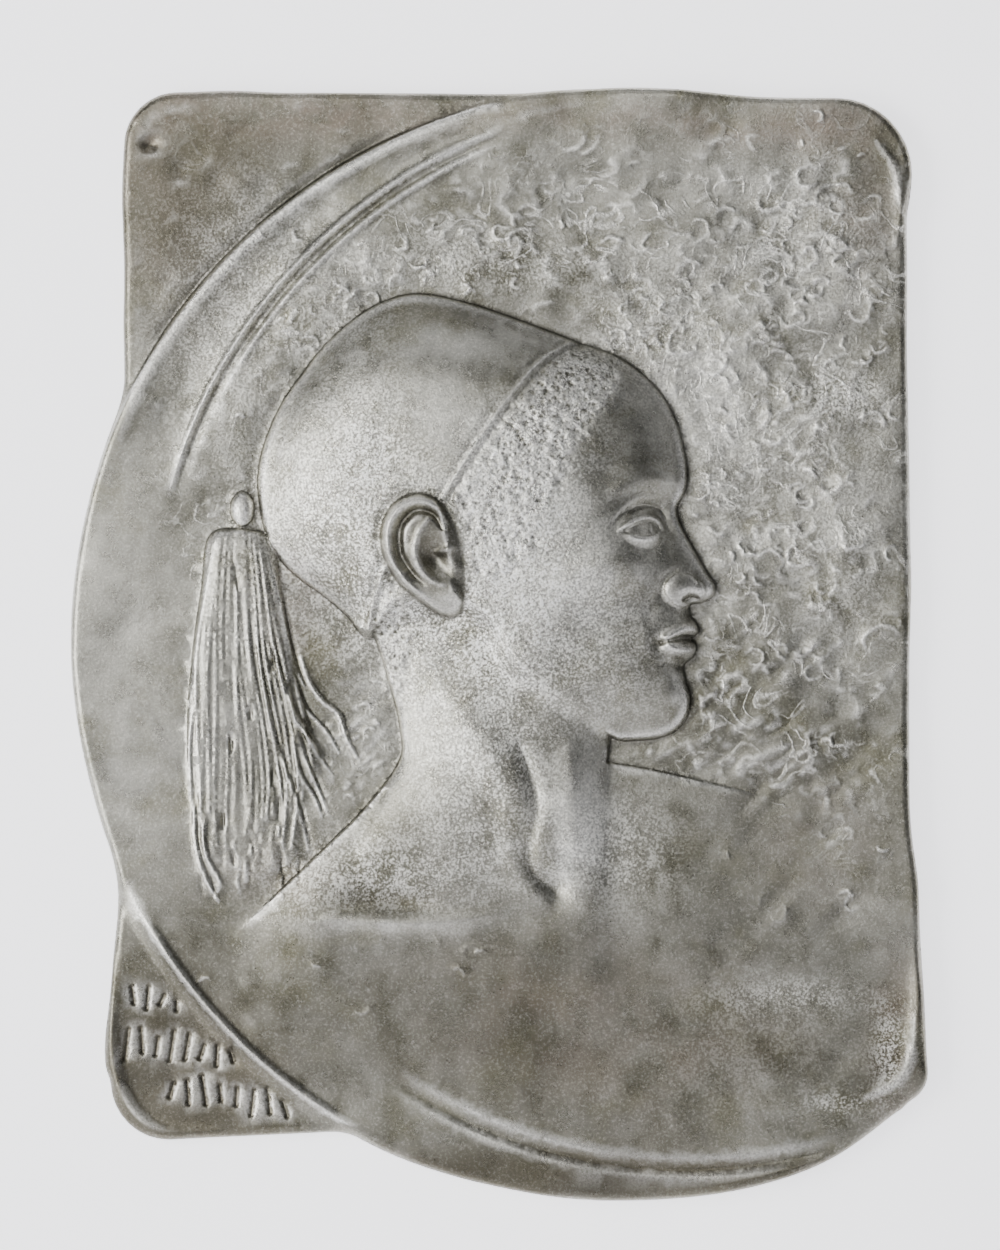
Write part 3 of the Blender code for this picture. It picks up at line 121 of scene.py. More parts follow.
PIXEL = 0.00045             # one pixel of the photograph at the plaque
FRAME_WIDTH = 1000
FRAME_HEIGHT = 1250
HANG_PIXEL = (505, 106)     # the hanging point in the photograph
CAMERA_DISTANCE = 2.2
SENSOR_HEIGHT = 24.0
WALL_GAP = 0.0006           # stage wall, behind the back rim
WALL_REACH = 3.6            # from the disc's middle
FLOOR_HEIGHT = -1.0
FLOOR_REACH = 6
WARM = (1.0, 0.992, 0.968)  # light of the two large lamps

# Corners from the top left, clockwise: side, radius, and how far each is pulled right and up.
CORNERS = (
    (-1, 1, TOP_LEFT_RADIUS, 0.0000, 0.0010),
    (1, 1, TOP_RIGHT_RADIUS, 0.0034, -0.0020),
    (1, -1, BOTTOM_RIGHT_RADIUS, 0.0105, 0.0160),
    (-1, -1, BOTTOM_LEFT_RADIUS, -0.0060, 0.0000),
)
# Uneven edges of the hand-made slab: place along the side as a share, half width and swell in metres.
EDGE_WAVES = (
    ((0.08, 0.014, 0.0010), (0.39, 0.060, 0.0006), (0.59, 0.010, 0.0009), (0.65, 0.008, -0.0008),
     (0.77, 0.026, 0.0006)),
    ((0.015, 0.010, 0.0018), (0.066, 0.008, -0.0020), (0.18, 0.085, -0.0044), (0.195, 0.016, -0.0010),
     (0.46, 0.020, 0.0008), (0.62, 0.095, -0.0062), (0.70, 0.020, -0.0012), (0.79, 0.012, 0.0008)),
    ((0.60, 0.040, 0.0005),),
    ((0.035, 0.020, 0.0029), (0.19, 0.020, -0.0022), (0.30, 0.030, -0.0010), (0.74, 0.030, -0.0018),
     (0.86, 0.020, -0.0008), (0.95, 0.014, 0.0006)),
)
# Uneven edge of the disc: direction in degrees, half width in degrees, swell in metres.
DISC_WAVES = ((148, 12, 0.0025), (192, 10, -0.0010), (243, 10, 0.0024), (302, 8, -0.0080))

# The figure's lines, in shares of the head's height: forward of the brow line, and up from the chin.
PROFILE = (
    (-0.27, 0.955), (-0.16, 0.915), (-0.08, 0.850), (-0.032, 0.775), (-0.010, 0.70), (-0.002, 0.645),
    (-0.006, 0.605), (-0.026, 0.562), (-0.018, 0.525), (0.012, 0.468), (0.046, 0.408), (0.064, 0.382),
    (0.060, 0.356), (0.034, 0.340), (0.006, 0.334), (0.004, 0.312), (0.020, 0.288), (0.025, 0.270),
    (0.009, 0.253), (0.019, 0.238), (0.014, 0.214), (-0.010, 0.190), (-0.006, 0.158), (0.006, 0.118),
    (-0.002, 0.070), (-0.034, 0.034), (-0.085, 0.018), (-0.15, 0.014),
)
JAW = ((-0.22, 0.030), (-0.30, 0.062), (-0.385, 0.112), (-0.450, 0.175), (-0.500, 0.265))
NAPE = ((-0.56, 0.290), (-0.66, 0.265), (-0.752, 0.247))
CAP_BACK = (
    (-0.799, 0.303), (-0.856, 0.353), (-0.910, 0.391), (-0.955, 0.433), (-0.993, 0.497), (-1.009, 0.571),
    (-1.014, 0.635), (-1.000, 0.708), (-0.957, 0.808), (-0.903, 0.886), (-0.848, 0.954),
)
CAP_TOP = ((-0.745, 1.035), (-0.645, 1.066), (-0.52, 1.045), (-0.40, 1.005), (-0.32, 0.975))
RIM_FRONT = ((-0.262, 0.957), (-0.34, 0.905), (-0.42, 0.815), (-0.50, 0.70), (-0.575, 0.580))
RIM_BACK = ((-0.700, 0.440), (-0.738, 0.335), (-0.752, 0.247))
EAR = (
    (-0.530, 0.470), (-0.545, 0.520), (-0.575, 0.566), (-0.628, 0.592), (-0.684, 0.575), (-0.718, 0.520),
    (-0.716, 0.452), (-0.684, 0.390), (-0.630, 0.342), (-0.572, 0.308), (-0.538, 0.314), (-0.526, 0.355),
)
NECK_BACK = (
    (-0.735, 0.250), (-0.705, 0.150), (-0.680, 0.050), (-0.676, -0.02), (-0.715, -0.10), (-0.80, -0.26),
)
SHOULDER = ((-0.690, -0.060), (-0.76, -0.14), (-0.86, -0.24), (-0.97, -0.345), (-1.075, -0.445))
NECK_FRONT = ((-0.175, 0.06), (-0.188, -0.03), (-0.194, -0.12), (-0.190, -0.25), (-0.178, -0.37))
FAR_SHOULDER = ((-0.190, -0.035), (-0.06, -0.058), (0.10, -0.096), (0.17, -0.112))
TASSEL = (
    (-1.126, 0.502), (-1.147, 0.381), (-1.171, 0.204), (-1.182, 0.038), (-1.168, -0.128), (-1.140, -0.251),
    (-1.069, -0.289), (-0.993, -0.313), (-0.912, -0.242), (-0.910, -0.140), (-0.865, -0.045), (-0.889, 0.050),
    (-0.922, 0.156), (-0.941, 0.275), (-0.960, 0.393), (-0.983, 0.493), (-1.052, 0.516),
)
KNOB = (-1.050, 0.560)


def smooth(value, low, high):
    """Rises from 0 at low to 1 at high with soft ends."""
    share = np.clip((value - low) / (high - low), 0.0, 1.0)
    return share * share * (3.0 - 2.0 * share)


def soft_max(first, second, blend):
    """The higher of two forms, joined by a fillet of about this size."""
    share = np.clip(0.5 + 0.5 * (first - second) / blend, 0.0, 1.0)
    return second + (first - second) * share + blend * share * (1.0 - share)


def soft_min(first, second, blend):
    return -soft_max(-first, -second, blend)


def bell(distance, width):
    return np.exp(-(distance / width) ** 2)


def spline(points, closed=False, steps=6):
    """A smooth line through a few points (centripetal, so it makes no loops)."""
    pts = [np.array(p, float) for p in points]
    if closed:
        pts = [pts[-1]] + pts + [pts[0], pts[1]]
    else:
        pts = [2 * pts[0] - pts[1]] + pts + [2 * pts[-1] - pts[-2]]
    line = []
    for a, b, c, d in zip(pts, pts[1:], pts[2:], pts[3:]):
        ab = max(np.linalg.norm(b - a), 1e-9) ** 0.5
        bc = max(np.linalg.norm(c - b), 1e-9) ** 0.5
        cd = max(np.linalg.norm(d - c), 1e-9) ** 0.5
        into = (b - a) / ab - (c - a) / (ab + bc) + (c - b) / bc
        out = (c - b) / bc - (d - b) / (bc + cd) + (d - c) / cd
        for t in np.arange(steps) / steps:
            line.append(b + (bc * into) * (t - 2 * t * t + t ** 3) + (c - b) * (3 * t * t - 2 * t ** 3)
                        + (bc * out) * (t ** 3 - t * t))
    if not closed:
        line.append(pts[-2])
    return np.array(line)


def figure(points):
    """Turns shares of the head's height into places on the plaque."""
    shares = np.asarray(points, float)
    return np.array((FACE_SHIFT, -CHIN_DROP)) + shares * HEAD_HEIGHT


def line_distance(x, z, line, closed=False):
    """Distance to a line, and the share of its length where the nearest point lies."""
    ends = np.roll(line, -1, axis=0) if closed else line[1:]
    starts = line if closed else line[:-1]
    lengths = np.linalg.norm(ends - starts, axis=1)
    total = lengths.sum()
    best = np.full(x.shape, 1e9)
    along = np.zeros(x.shape)
    done = 0.0
    for start, end, length in zip(starts, ends, lengths):
        ex, ez = (end - start) / max(length, 1e-9)
        t = np.clip((x - start[0]) * ex + (z - start[1]) * ez, 0.0, length)
        gap = (x - start[0] - t * ex) ** 2 + (z - start[1] - t * ez) ** 2
        closer = gap < best
        best = np.where(closer, gap, best)
        along = np.where(closer, done + t, along)
        done += length
    return np.sqrt(best), along / total


def inside(x, z, polygon):
    """Even-odd test of grid places against a closed line."""
    odd = np.zeros(x.shape, bool)
    for (ax, az), (bx, bz) in zip(polygon, np.roll(polygon, -1, axis=0)):
        if az == bz:
            continue
        crosses = (z < az) != (z < bz)
        odd ^= crosses & (x < ax + (z - az) * (bx - ax) / (bz - az))
    return odd


def depth_inside(x, z, polygon):
    """Distance to a closed line, positive inside."""
    gap, _ = line_distance(x, z, polygon, closed=True)
    return np.where(inside(x, z, polygon), gap, -gap)


def quarter_round(distance, radius):
    """Height share of a round edge that is full at this distance from its line."""
    share = np.clip(distance / radius, 0.0, 1.0)
    return np.sqrt(np.clip(1.0 - (1.0 - share) ** 2, 0.0, 1.0))


def blur(values, cells):
    """Softens a grid by a bell of this many cells."""
    reach = max(int(3 * cells + 0.5), 1)
    weights = np.exp(-0.5 * (np.arange(-reach, reach + 1) / max(cells, 1e-6)) ** 2)
    weights /= weights.sum()
    padded = np.pad(values, reach, mode="edge")
    rows = sum(w * padded[i:i + values.shape[0], :] for i, w in enumerate(weights))
    return sum(w * rows[:, i:i + values.shape[1]] for i, w in enumerate(weights))


def blur_within(values, mask, cells):
    """Softens a grid inside a region only, so that its border stays."""
    weight = mask.astype(float)
    return np.where(mask, blur(values * weight, cells) / np.maximum(blur(weight, cells), 1e-6), values)


class Field:
    """A grid of heights over part of the plaque: x to the right, z up."""

    def __init__(self, xs, zs, step):
        self.xs, self.zs, self.step = xs, zs, step
        self.x, self.z = np.meshgrid(xs, zs)
        self.h = np.zeros(self.x.shape)

    def window(self, points, margin):
        low = np.min(points, axis=0) - margin
        high = np.max(points, axis=0) + margin
        left, right = np.searchsorted(self.xs, (low[0], high[0]))
        bottom, top = np.searchsorted(self.zs, (low[1], high[1]))
        return slice(bottom, top), slice(left, right)

    def patch(self, points, margin):
        """An empty field over the same cells round some points, and its place in this one."""
        rows, columns = self.window(points, margin)
        return Field(self.xs[columns], self.zs[rows], self.step), (rows, columns)

    def ridge(self, points, height, width, taper=True, steps=6):
        """Adds a soft ridge, or a groove for a negative height, along a line."""
        line = spline(points, steps=steps)
        place = self.window(line, 3 * width)
        if self.h[place].size == 0:
            return
        gap, along = line_distance(self.x[place], self.z[place], line)
        size = width * (0.35 + 0.65 * np.sin(np.pi * np.clip(along, 0, 1)) ** 0.6) if taper else width
        ends = np.sin(np.pi * np.clip(along, 0.0, 1.0)) ** 0.5 if taper else 1.0
        self.h[place] += height * ends * bell(gap, size)

    def swell(self, centre, height, reach, tilt=0.0):
        """Adds a soft swelling, or a hollow, about a place."""
        place = self.window([centre], 3 * max(reach))
        if self.h[place].size == 0:
            return
        along, across = turned(self.x[place], self.z[place], centre, tilt)
        self.h[place] += height * np.exp(-(along / reach[0]) ** 2 - (across / reach[1]) ** 2)

    def dome(self, centre, height, reach, tilt=0.0, power=2.0):
        """A round dome with a firm foot, as its own grid."""
        along, across = turned(self.x, self.z, centre, tilt)
        far = (np.abs(along / reach[0]) ** power + np.abs(across / reach[1]) ** power) ** (1.0 / power)
        return height * np.sqrt(np.clip(1.0 - far ** 2, 0.0, 1.0))

    def at(self, x, z):
        """Heights at any places, between the cells."""
        column = np.clip((x - self.xs[0]) / self.step, 0, len(self.xs) - 1.001)
        row = np.clip((z - self.zs[0]) / self.step, 0, len(self.zs) - 1.001)
        i, j = column.astype(int), row.astype(int)
        u, v = column - i, row - j
        low = self.h[j, i] * (1 - u) + self.h[j, i + 1] * u
        high = self.h[j + 1, i] * (1 - u) + self.h[j + 1, i + 1] * u
        return low * (1 - v) + high * v


def turned(x, z, centre, tilt):
    """Places seen from a centre along a tilted pair of axes."""
    c, s = math.cos(math.radians(tilt)), math.sin(math.radians(tilt))
    return (x - centre[0]) * c + (z - centre[1]) * s, (z - centre[1]) * c - (x - centre[0]) * s


def spot(share_forward, share_up):
    return figure([(share_forward, share_up)])[0]


def slab_outline():
    """The slab's uneven outline, clockwise from its top left corner."""
    left = SLAB_SHIFT - SLAB_WIDTH / 2
    foot = HANG_DROP - SLAB_HEIGHT
    places = []
    for side_x, side_z, radius, shift, rise in CORNERS:
        corner_x = left + (SLAB_WIDTH if side_x > 0 else 0.0) + shift
        corner_z = foot + (SLAB_HEIGHT if side_z > 0 else 0.0) + rise
        places.append((corner_x, corner_z, radius, side_x, side_z))
    starts = {(-1, 1): 180, (1, 1): 90, (1, -1): 0, (-1, -1): -90}
    loop = []
    for index, (cx, cz, radius, side_x, side_z) in enumerate(places):
        centre = np.array((cx - side_x * radius, cz - side_z * radius))
        for step in range(9):
            angle = math.radians(starts[(side_x, side_z)] - 90 * step / 8)
            loop.append(centre + radius * np.array((math.cos(angle), math.sin(angle))))
        nx, nz, next_radius, next_x, next_z = places[(index + 1) % 4]
        target = np.array((nx - next_x * next_radius, nz - next_z * next_radius))
        begin = loop[-1]
        angle = math.radians(starts[(next_x, next_z)])
        end = target + next_radius * np.array((math.cos(angle), math.sin(angle)))
        length = np.linalg.norm(end - begin)
        outward = np.array((-(end - begin)[1], (end - begin)[0])) / length
        for step in range(1, 60):
            share = step / 60
            swell = sum(height * math.exp(-((share - place) * length / width) ** 2)
                        for place, width, height in EDGE_WAVES[index])
            hold = min(1.0, share * length / 0.004, (1 - share) * length / 0.004)
            loop.append(begin + (end - begin) * share + outward * swell * hold)
    return np.array(loop)


def polar_radius(loop, centre, angles):
    """Reach of a star-shaped loop from a centre, at these angles."""
    away = loop - centre
    own = np.arctan2(away[:, 1], away[:, 0])
    reach = np.hypot(away[:, 0], away[:, 1])
    order = np.argsort(own)
    return np.interp(angles, own[order], reach[order], period=2 * math.pi)


def outline_reach(angles):
    """Reach of the whole plaque from the disc's centre: slab and disc together."""
    centre = np.array((DISC_SHIFT, -DISC_DROP))
    slab = polar_radius(slab_outline(), centre, angles)
    degrees = np.degrees(angles) % 360
    disc = np.full(angles.shape, DISC_RADIUS)
    for direction, width, height in DISC_WAVES:
        turn = (degrees - direction + 180) % 360 - 180
        disc = disc + height * np.exp(-(turn / width) ** 2)
    right = SLAB_SHIFT + SLAB_WIDTH / 2 - DISC_SHIFT
    side = (right + 0.001) / np.maximum(np.cos(angles), 1e-3)
    disc = soft_min(disc, side, 0.006)
    return soft_max(slab, disc, 0.004)


def outline_loop(count):
    """The outline as points, spaced so that the hanging point lies midway between two of them."""
    hang = math.atan2(DISC_DROP, -DISC_SHIFT)
    angles = hang + (np.arange(count) + 0.5) * 2 * math.pi / count
    reach = outline_reach(np.angle(np.exp(1j * angles)))
    return angles, reach


def polar_place(angles, reach):
    return np.column_stack((DISC_SHIFT + reach * np.cos(angles), -DISC_DROP + reach * np.sin(angles)))


def edge_distance(field):
    """Distance of each cell from the outline, positive inside."""
    turn = np.arctan2(field.z + DISC_DROP, field.x - DISC_SHIFT)
    away = np.hypot(field.x - DISC_SHIFT, field.z + DISC_DROP)
    angles = np.linspace(-math.pi, math.pi, 1441)
    reach = outline_reach(angles)
    slope = np.gradient(reach, angles) / reach
    near = np.interp(turn, angles, reach)
    lean = np.interp(turn, angles, np.cos(np.arctan(slope)))
    return (near - away) * lean


def disc_forms(field):
    """Corner grounds, the shallow dish and the crescent's crests and grooves."""
    x, z = field.x, field.z
    turn = np.degrees(np.arctan2(z + DISC_DROP, x - DISC_SHIFT)) % 360
    away = np.hypot(x - DISC_SHIFT, z + DISC_DROP)
    beyond = away - DISC_RADIUS
    moon = np.hypot(x - DISC_SHIFT - MOON_SHIFT, z + DISC_DROP - MOON_RISE) - MOON_RADIUS
    high = smooth(turn, 98, 112)
    lower = smooth(turn, 190, 206)
    corner = smooth(beyond, -0.0008 - 0.0012 * lower, 0.0012 + 0.0052 * lower) * high
    field.h -= CORNER_DROP * corner
    upper_left = smooth(turn, 104, 116) * (1 - smooth(turn, 150, 172))
    lower_left = smooth(turn, 208, 214) * (1 - smooth(turn, 234, 244))
    field.h -= 0.0012 * bell(beyond - 0.0020, 0.0016) * smooth(turn, 112, 118) * (1 - smooth(turn, 144, 150))
    field.h += 0.0017 * bell(beyond + 0.0014, 0.0018) * lower_left
    field.h -= 0.0006 * bell(beyond + 0.0068, 0.0034) * lower_left
    field.h += 0.0010 * bell(beyond + 0.0030, 0.0030) * upper_left
    field.h -= DISH_DEPTH * (1 - smooth(away, 0.06, 0.20))
    inner = smooth(turn, 100, 118) * (1 - smooth(turn, 152, 164))
    field.h += CREST_LIFT * bell(moon - 0.0010, 0.0016) * inner
    field.h -= GROOVE_DEPTH * bell(moon + 0.0022, 0.0018) * inner
    field.h += 0.6 * CREST_LIFT * bell(moon + 0.0052, 0.0013) * inner * (1 - smooth(turn, 138, 150))
    field.h -= 0.0010 * bell(moon - 0.0120, 0.0070) * inner * smooth(turn, 118, 130)
    foot = smooth(turn, 236, 250) * (1 - smooth(turn, 284, 300))
    field.h -= 0.8 * GROOVE_DEPTH * bell(moon + 0.0006, 0.0024) * foot
    field.h += 0.0008 * smooth(moon, 0.0, 0.0040) * foot
    field.h += 0.0005 * bell(moon + 0.0060, 0.0026) * foot


def ground_unevenness(field):
    """Broad thumbed hollows and swellings of the ground."""
    rng = np.random.default_rng(RANDOM_SEED)
    for _ in range(260):
        x = rng.uniform(field.xs[0], field.xs[-1])
        z = rng.uniform(field.zs[0], field.zs[-1])
        size = rng.uniform(0.008, 0.020)
        upper = 1.0 if z > -0.30 else 0.55
        field.swell((x, z), upper * rng.uniform(-0.0006, 0.0006), (size, size * rng.uniform(0.6, 1.0)),
                    rng.uniform(0, 180))
    for x, z, depth, size in THUMB_HOLLOWS:
        field.swell((x, z), -depth, (size, 0.8 * size), 20)
        field.swell((x, z), 0.35 * depth, (1.7 * size, 1.4 * size), 20)


# Deep thumb hollows of the corners: place right of and above the hanging point, depth, size.
THUMB_HOLLOWS = (
    (-0.159, -0.018, 0.0030, 0.0044), (-0.146, -0.030, 0.0012, 0.0070), (-0.128, -0.034, 0.0012, 0.0070),
    (-0.108, -0.038, 0.0012, 0.0065), (-0.120, -0.014, 0.0008, 0.0060), (0.146, -0.036, 0.0014, 0.0075),
    (0.128, -0.020, 0.0010, 0.0080), (0.158, -0.080, 0.0010, 0.0070), (-0.150, -0.436, 0.0010, 0.0080),
    (0.150, -0.428, 0.0010, 0.0070), (0.160, -0.150, 0.0009, 0.0090), (0.148, -0.250, 0.0009, 0.0090),
)


def carve(layer, marks):
    """Adds ridges along lines and swellings about places, sized in shares of the head's height."""
    for place, height, size, *more in marks:
        if isinstance(size, tuple):
            layer.swell(spot(*place), height * UNIT, (size[0] * HEAD_HEIGHT, size[1] * HEAD_HEIGHT), *more)
        else:
            layer.ridge(figure(place), height * UNIT, size * HEAD_HEIGHT, *more)


def bust(field):
    """Shoulders and neck, as a grid over the ground."""
    lines = np.vstack((figure(SHOULDER), figure(FAR_SHOULDER), figure(((-0.4, -0.97), (-0.66, 0.56)))))
    layer, place = field.patch(lines, 0.012)
    x, z = layer.x, layer.z
    back = np.vstack((figure([(-0.74, 0.30)]), spline(figure(NECK_BACK[:4] + SHOULDER[1:]), steps=5)))
    front = figure(((-1.00, -0.85), (-0.40, -1.00), (0.20, -0.90), (0.42, -0.55), (0.34, -0.16)))
    far = spline(figure(FAR_SHOULDER[::-1]), steps=5)
    edge = depth_inside(x, z, np.vstack((back, front, far, figure([(-0.19, 0.10)]))))
    low = figure([(0, -0.78), (0, -0.30)])[:, 1]
    left = figure([(-1.10, 0), (-0.84, 0)])[:, 0]
    right = figure([(-0.06, 0), (0.26, 0)])[:, 0]
    fade = smooth(z, low[0], low[1]) * smooth(x, left[0], left[1]) * (1 - smooth(x, right[0], right[1]))
    far_side = smooth(x, *figure([(-0.24, 0), (-0.17, 0)])[:, 0])
    lift = BODY_LIFT * fade * (1 - 0.50 * far_side)
    torso = np.where(edge > 0, lift * (0.35 + 0.65 * quarter_round(edge, 0.020)), 0.0)
    torso = blur_within(torso, edge > 0, 0.003 / layer.step)
    column = np.vstack((spline(figure(NECK_FRONT), steps=5), figure(((-0.40, -0.62), (-0.66, -0.60))),
                        spline(figure(NECK_BACK), steps=5)[::-1],
                        figure(((-0.775, 0.40), (-0.66, 0.56), (-0.30, 0.48)))))
    depth = depth_inside(x, z, column)
    stand = smooth(z, *figure([(0, -0.50), (0, -0.06)])[:, 1])
    neck = np.where(depth > 0, 15.0 * UNIT * quarter_round(depth, 44 * UNIT) * stand, 0.0)
    neck = blur(neck, 0.0020 / layer.step)
    fillet = 0.006 * smooth(np.minimum(torso, neck), 0.0, 0.004) + 1e-6
    layer.h = soft_max(torso, neck, fillet) * smooth(np.maximum(edge, depth), -0.0004, 0.0010)
    muscle = Field(layer.xs, layer.zs, layer.step)
    carve(muscle, (
        (((-0.64, 0.22), (-0.52, 0.06), (-0.42, -0.10), (-0.36, -0.26), (-0.33, -0.38)), 1.9, 0.045),
        (((-0.400, 0.02), (-0.372, -0.07), (-0.360, -0.14), (-0.376, -0.22), (-0.370, -0.28),
          (-0.325, -0.335)), -2.6, 0.019),
        ((-0.316, -0.328), -4.0, (0.030, 0.040), 30),
        (((-0.285, 0.02), (-0.272, -0.09), (-0.270, -0.18), (-0.268, -0.27)), 2.3, 0.034),
        (((-0.430, -0.12), (-0.425, -0.22), (-0.400, -0.30), (-0.350, -0.365)), 1.2, 0.022),
        (((-0.87, -0.400), (-0.76, -0.408), (-0.62, -0.410), (-0.50, -0.400), (-0.42, -0.385)), 2.0, 0.021),
        (((-0.80, -0.352), (-0.70, -0.358), (-0.59, -0.362)), -0.9, 0.026),
        ((-0.66, -0.26), 0.9, (0.12, 0.07), -30),
        ((-0.16, -0.38), 0.8, (0.08, 0.04), -8),
    ))
    layer.h += muscle.h * smooth(np.maximum(edge, depth), 0.0, 0.004)
    field.h[place] += layer.h


def face_masses(layer):
    """Cheekbone, hollow under it, jaw corner, temple, brow, socket and eyeball."""
    size = HEAD_HEIGHT
    carve(layer, (
        ((-0.200, 0.425), 2.2, (0.110, 0.050), 18),
        ((-0.205, 0.290), -2.4, (0.100, 0.070), 30),
        ((-0.400, 0.200), 1.4, (0.080, 0.080)),
        ((-0.185, 0.675), -1.6, (0.060, 0.080)),
        ((-0.090, 0.740), 1.6, (0.090, 0.060)),
        (((-0.004, 0.612), (-0.05, 0.628), (-0.11, 0.630), (-0.19, 0.595)), 1.9, 0.026),
        ((-0.075, 0.540), -5.2, (0.062, 0.040)),
        ((-0.045, 0.535), -2.8, (0.024, 0.040)),
    ))
    layer.h += layer.dome(spot(-0.107, 0.518), 3.6 * UNIT, (0.050 * size, 0.043 * size))


def eye(layer):
    """Eye of a head seen from the side: lids about an open eyeball, with iris, crease and tear corner."""
    size = HEAD_HEIGHT
    opening = spline(figure(EYE_OPENING), closed=True, steps=4)
    depth = depth_inside(layer.x, layer.z, opening)
    corner = figure([(0, 0.506)])[0, 1]
    upper = smooth(layer.z, corner - 0.0008, corner + 0.0012)
    layer.h -= 1.3 * UNIT * smooth(depth, -0.0003, 0.0010)
    lids = bell(depth + 0.0011, 0.0011) * (1 - smooth(depth, -0.0003, 0.0006))
    front = figure([(-0.088, 0), (-0.058, 0)])[:, 0]
    lids *= 1 - 0.75 * smooth(layer.x, front[0], front[1]) * (1 - upper)
    layer.h += lids * (0.30 + 1.10 * upper) * UNIT
    iris = layer.dome(spot(-0.084, 0.513), 0.8 * UNIT, (0.011 * size, 0.020 * size))
    layer.h += iris * smooth(depth, 0, 0.0012)
    carve(layer, (
        ((-0.080, 0.514), -0.7, (0.0044, 0.0080)),
        (((-0.186, 0.512), (-0.150, 0.548), (-0.108, 0.566), (-0.070, 0.560),
          (-0.050, 0.536)), -1.3, 0.0070),
        (((-0.190, 0.530), (-0.145, 0.572), (-0.105, 0.588), (-0.062, 0.580)), 0.6, 0.0100),
        (((-0.150, 0.478), (-0.115, 0.462), (-0.078, 0.466), (-0.048, 0.486)), -0.7, 0.0110),
        (((-0.200, 0.622), (-0.150, 0.652), (-0.095, 0.656), (-0.042, 0.638)), 0.7, 0.0120),
    ))


EYE_OPENING = (
    (-0.158, 0.504), (-0.130, 0.524), (-0.100, 0.533), (-0.076, 0.528), (-0.066, 0.512), (-0.078, 0.498),
    (-0.106, 0.492), (-0.136, 0.496),
)


def nose(layer):
    """Wing, tip, nostril and the slope beside the bridge."""
    size = HEAD_HEIGHT
    layer.h += layer.dome(spot(-0.010, 0.368), 2.2 * UNIT, (0.050 * size, 0.040 * size), -14)
    carve(layer, (
        ((-0.018, 0.372), 1.0, (0.034, 0.026), -14),
        ((0.040, 0.380), 1.2, (0.026, 0.024)),
        (((-0.026, 0.420), (-0.056, 0.398), (-0.068, 0.366), (-0.056, 0.338),
          (-0.030, 0.328)), -1.1, 0.0120),
        (((0.004, 0.416), (0.022, 0.392), (0.022, 0.366)), -0.6, 0.0090),
        (((-0.016, 0.342), (0.004, 0.350), (0.028, 0.347)), -2.8, 0.0075),
        (((-0.040, 0.339), (-0.022, 0.333), (0.004, 0.334)), 0.8, 0.0060),
        ((-0.058, 0.470), -1.0, (0.024, 0.060), -18),
        (((-0.004, 0.318), (0.004, 0.300), (0.006, 0.288)), -0.8, 0.0075),
    ))


def mouth(layer):
    """Lips, the line between them, the corner and the fold of the chin."""
    lips = Field(layer.xs, layer.zs, layer.step)
    carve(lips, (
        (((0.022, 0.281), (-0.005, 0.279), (-0.035, 0.268), (-0.066, 0.250)), 2.6, 0.0135, False),
        (((0.018, 0.229), (-0.008, 0.226), (-0.036, 0.233), (-0.060, 0.246)), 2.9, 0.0150, False),
    ))
    fade = figure([(-0.074, 0), (-0.042, 0)])[:, 0]
    layer.h += lips.h * smooth(layer.x, fade[0], fade[1])
    carve(layer, (
        (((0.018, 0.2530), (-0.012, 0.2565), (-0.038, 0.2520), (-0.066, 0.2455)), -2.2, 0.0056, False),
        ((-0.076, 0.245), -1.3, (0.014, 0.018)),
        ((-0.102, 0.245), 0.8, (0.020, 0.040)),
        (((-0.062, 0.372), (-0.088, 0.330), (-0.102, 0.280)), -0.7, 0.0140),
        (((0.004, 0.190), (-0.025, 0.193), (-0.058, 0.203)), -2.0, 0.0160),
        ((-0.030, 0.108), 2.2, (0.050, 0.048)),
    ))


def ear(field):
    """Shell of the ear with its rim, inner fold, hollow, flap and lobe."""
    loop = spline(figure(EAR), closed=True, steps=5)
    layer, place = field.patch(loop, 0.006)
    edge = depth_inside(layer.x, layer.z, loop)
    ahead = smooth(layer.x, *figure([(-0.600, 0), (-0.545, 0)])[:, 0])
    ahead = ahead * smooth(layer.z, *figure([(0, 0.335), (0, 0.400)])[:, 1])
    raised = smooth(edge, -0.0004, 0.0016 + 0.0085 * ahead)
    parts = Field(layer.xs, layer.zs, layer.step)
    carve(parts, (
        (((-0.545, 0.462), (-0.556, 0.510), (-0.580, 0.552), (-0.627, 0.575), (-0.674, 0.560),
          (-0.702, 0.515), (-0.700, 0.452), (-0.670, 0.398), (-0.620, 0.352)), 2.5, 0.0092),
        (((-0.575, 0.505), (-0.600, 0.545), (-0.640, 0.552), (-0.674, 0.518), (-0.676, 0.458),
          (-0.650, 0.410), (-0.618, 0.380)), -3.2, 0.0098),
        (((-0.605, 0.540), (-0.632, 0.500), (-0.640, 0.455), (-0.622, 0.412), (-0.590, 0.384),
          (-0.566, 0.378)), 1.8, 0.0100),
        ((-0.592, 0.440), -6.4, (0.028, 0.040), 12),
        ((-0.562, 0.410), -1.8, (0.018, 0.022)),
        (((-0.541, 0.475), (-0.565, 0.462), (-0.598, 0.455)), 2.2, 0.0085),
        ((-0.535, 0.418), 3.0, (0.016, 0.022)),
        ((-0.565, 0.345), 1.0, (0.026, 0.022)),
    ))
    under = blur(field.h[place], 3.0 * UNIT / field.step)
    field.h[place] += (under - field.h[place]) * smooth(edge, -0.0012, 0.0012)
    field.h[place] += 4.6 * UNIT * raised + parts.h * raised
    field.h[place] -= 0.9 * UNIT * bell(edge + 0.0016, 0.0016) * (1 - raised) * (1 - ahead)


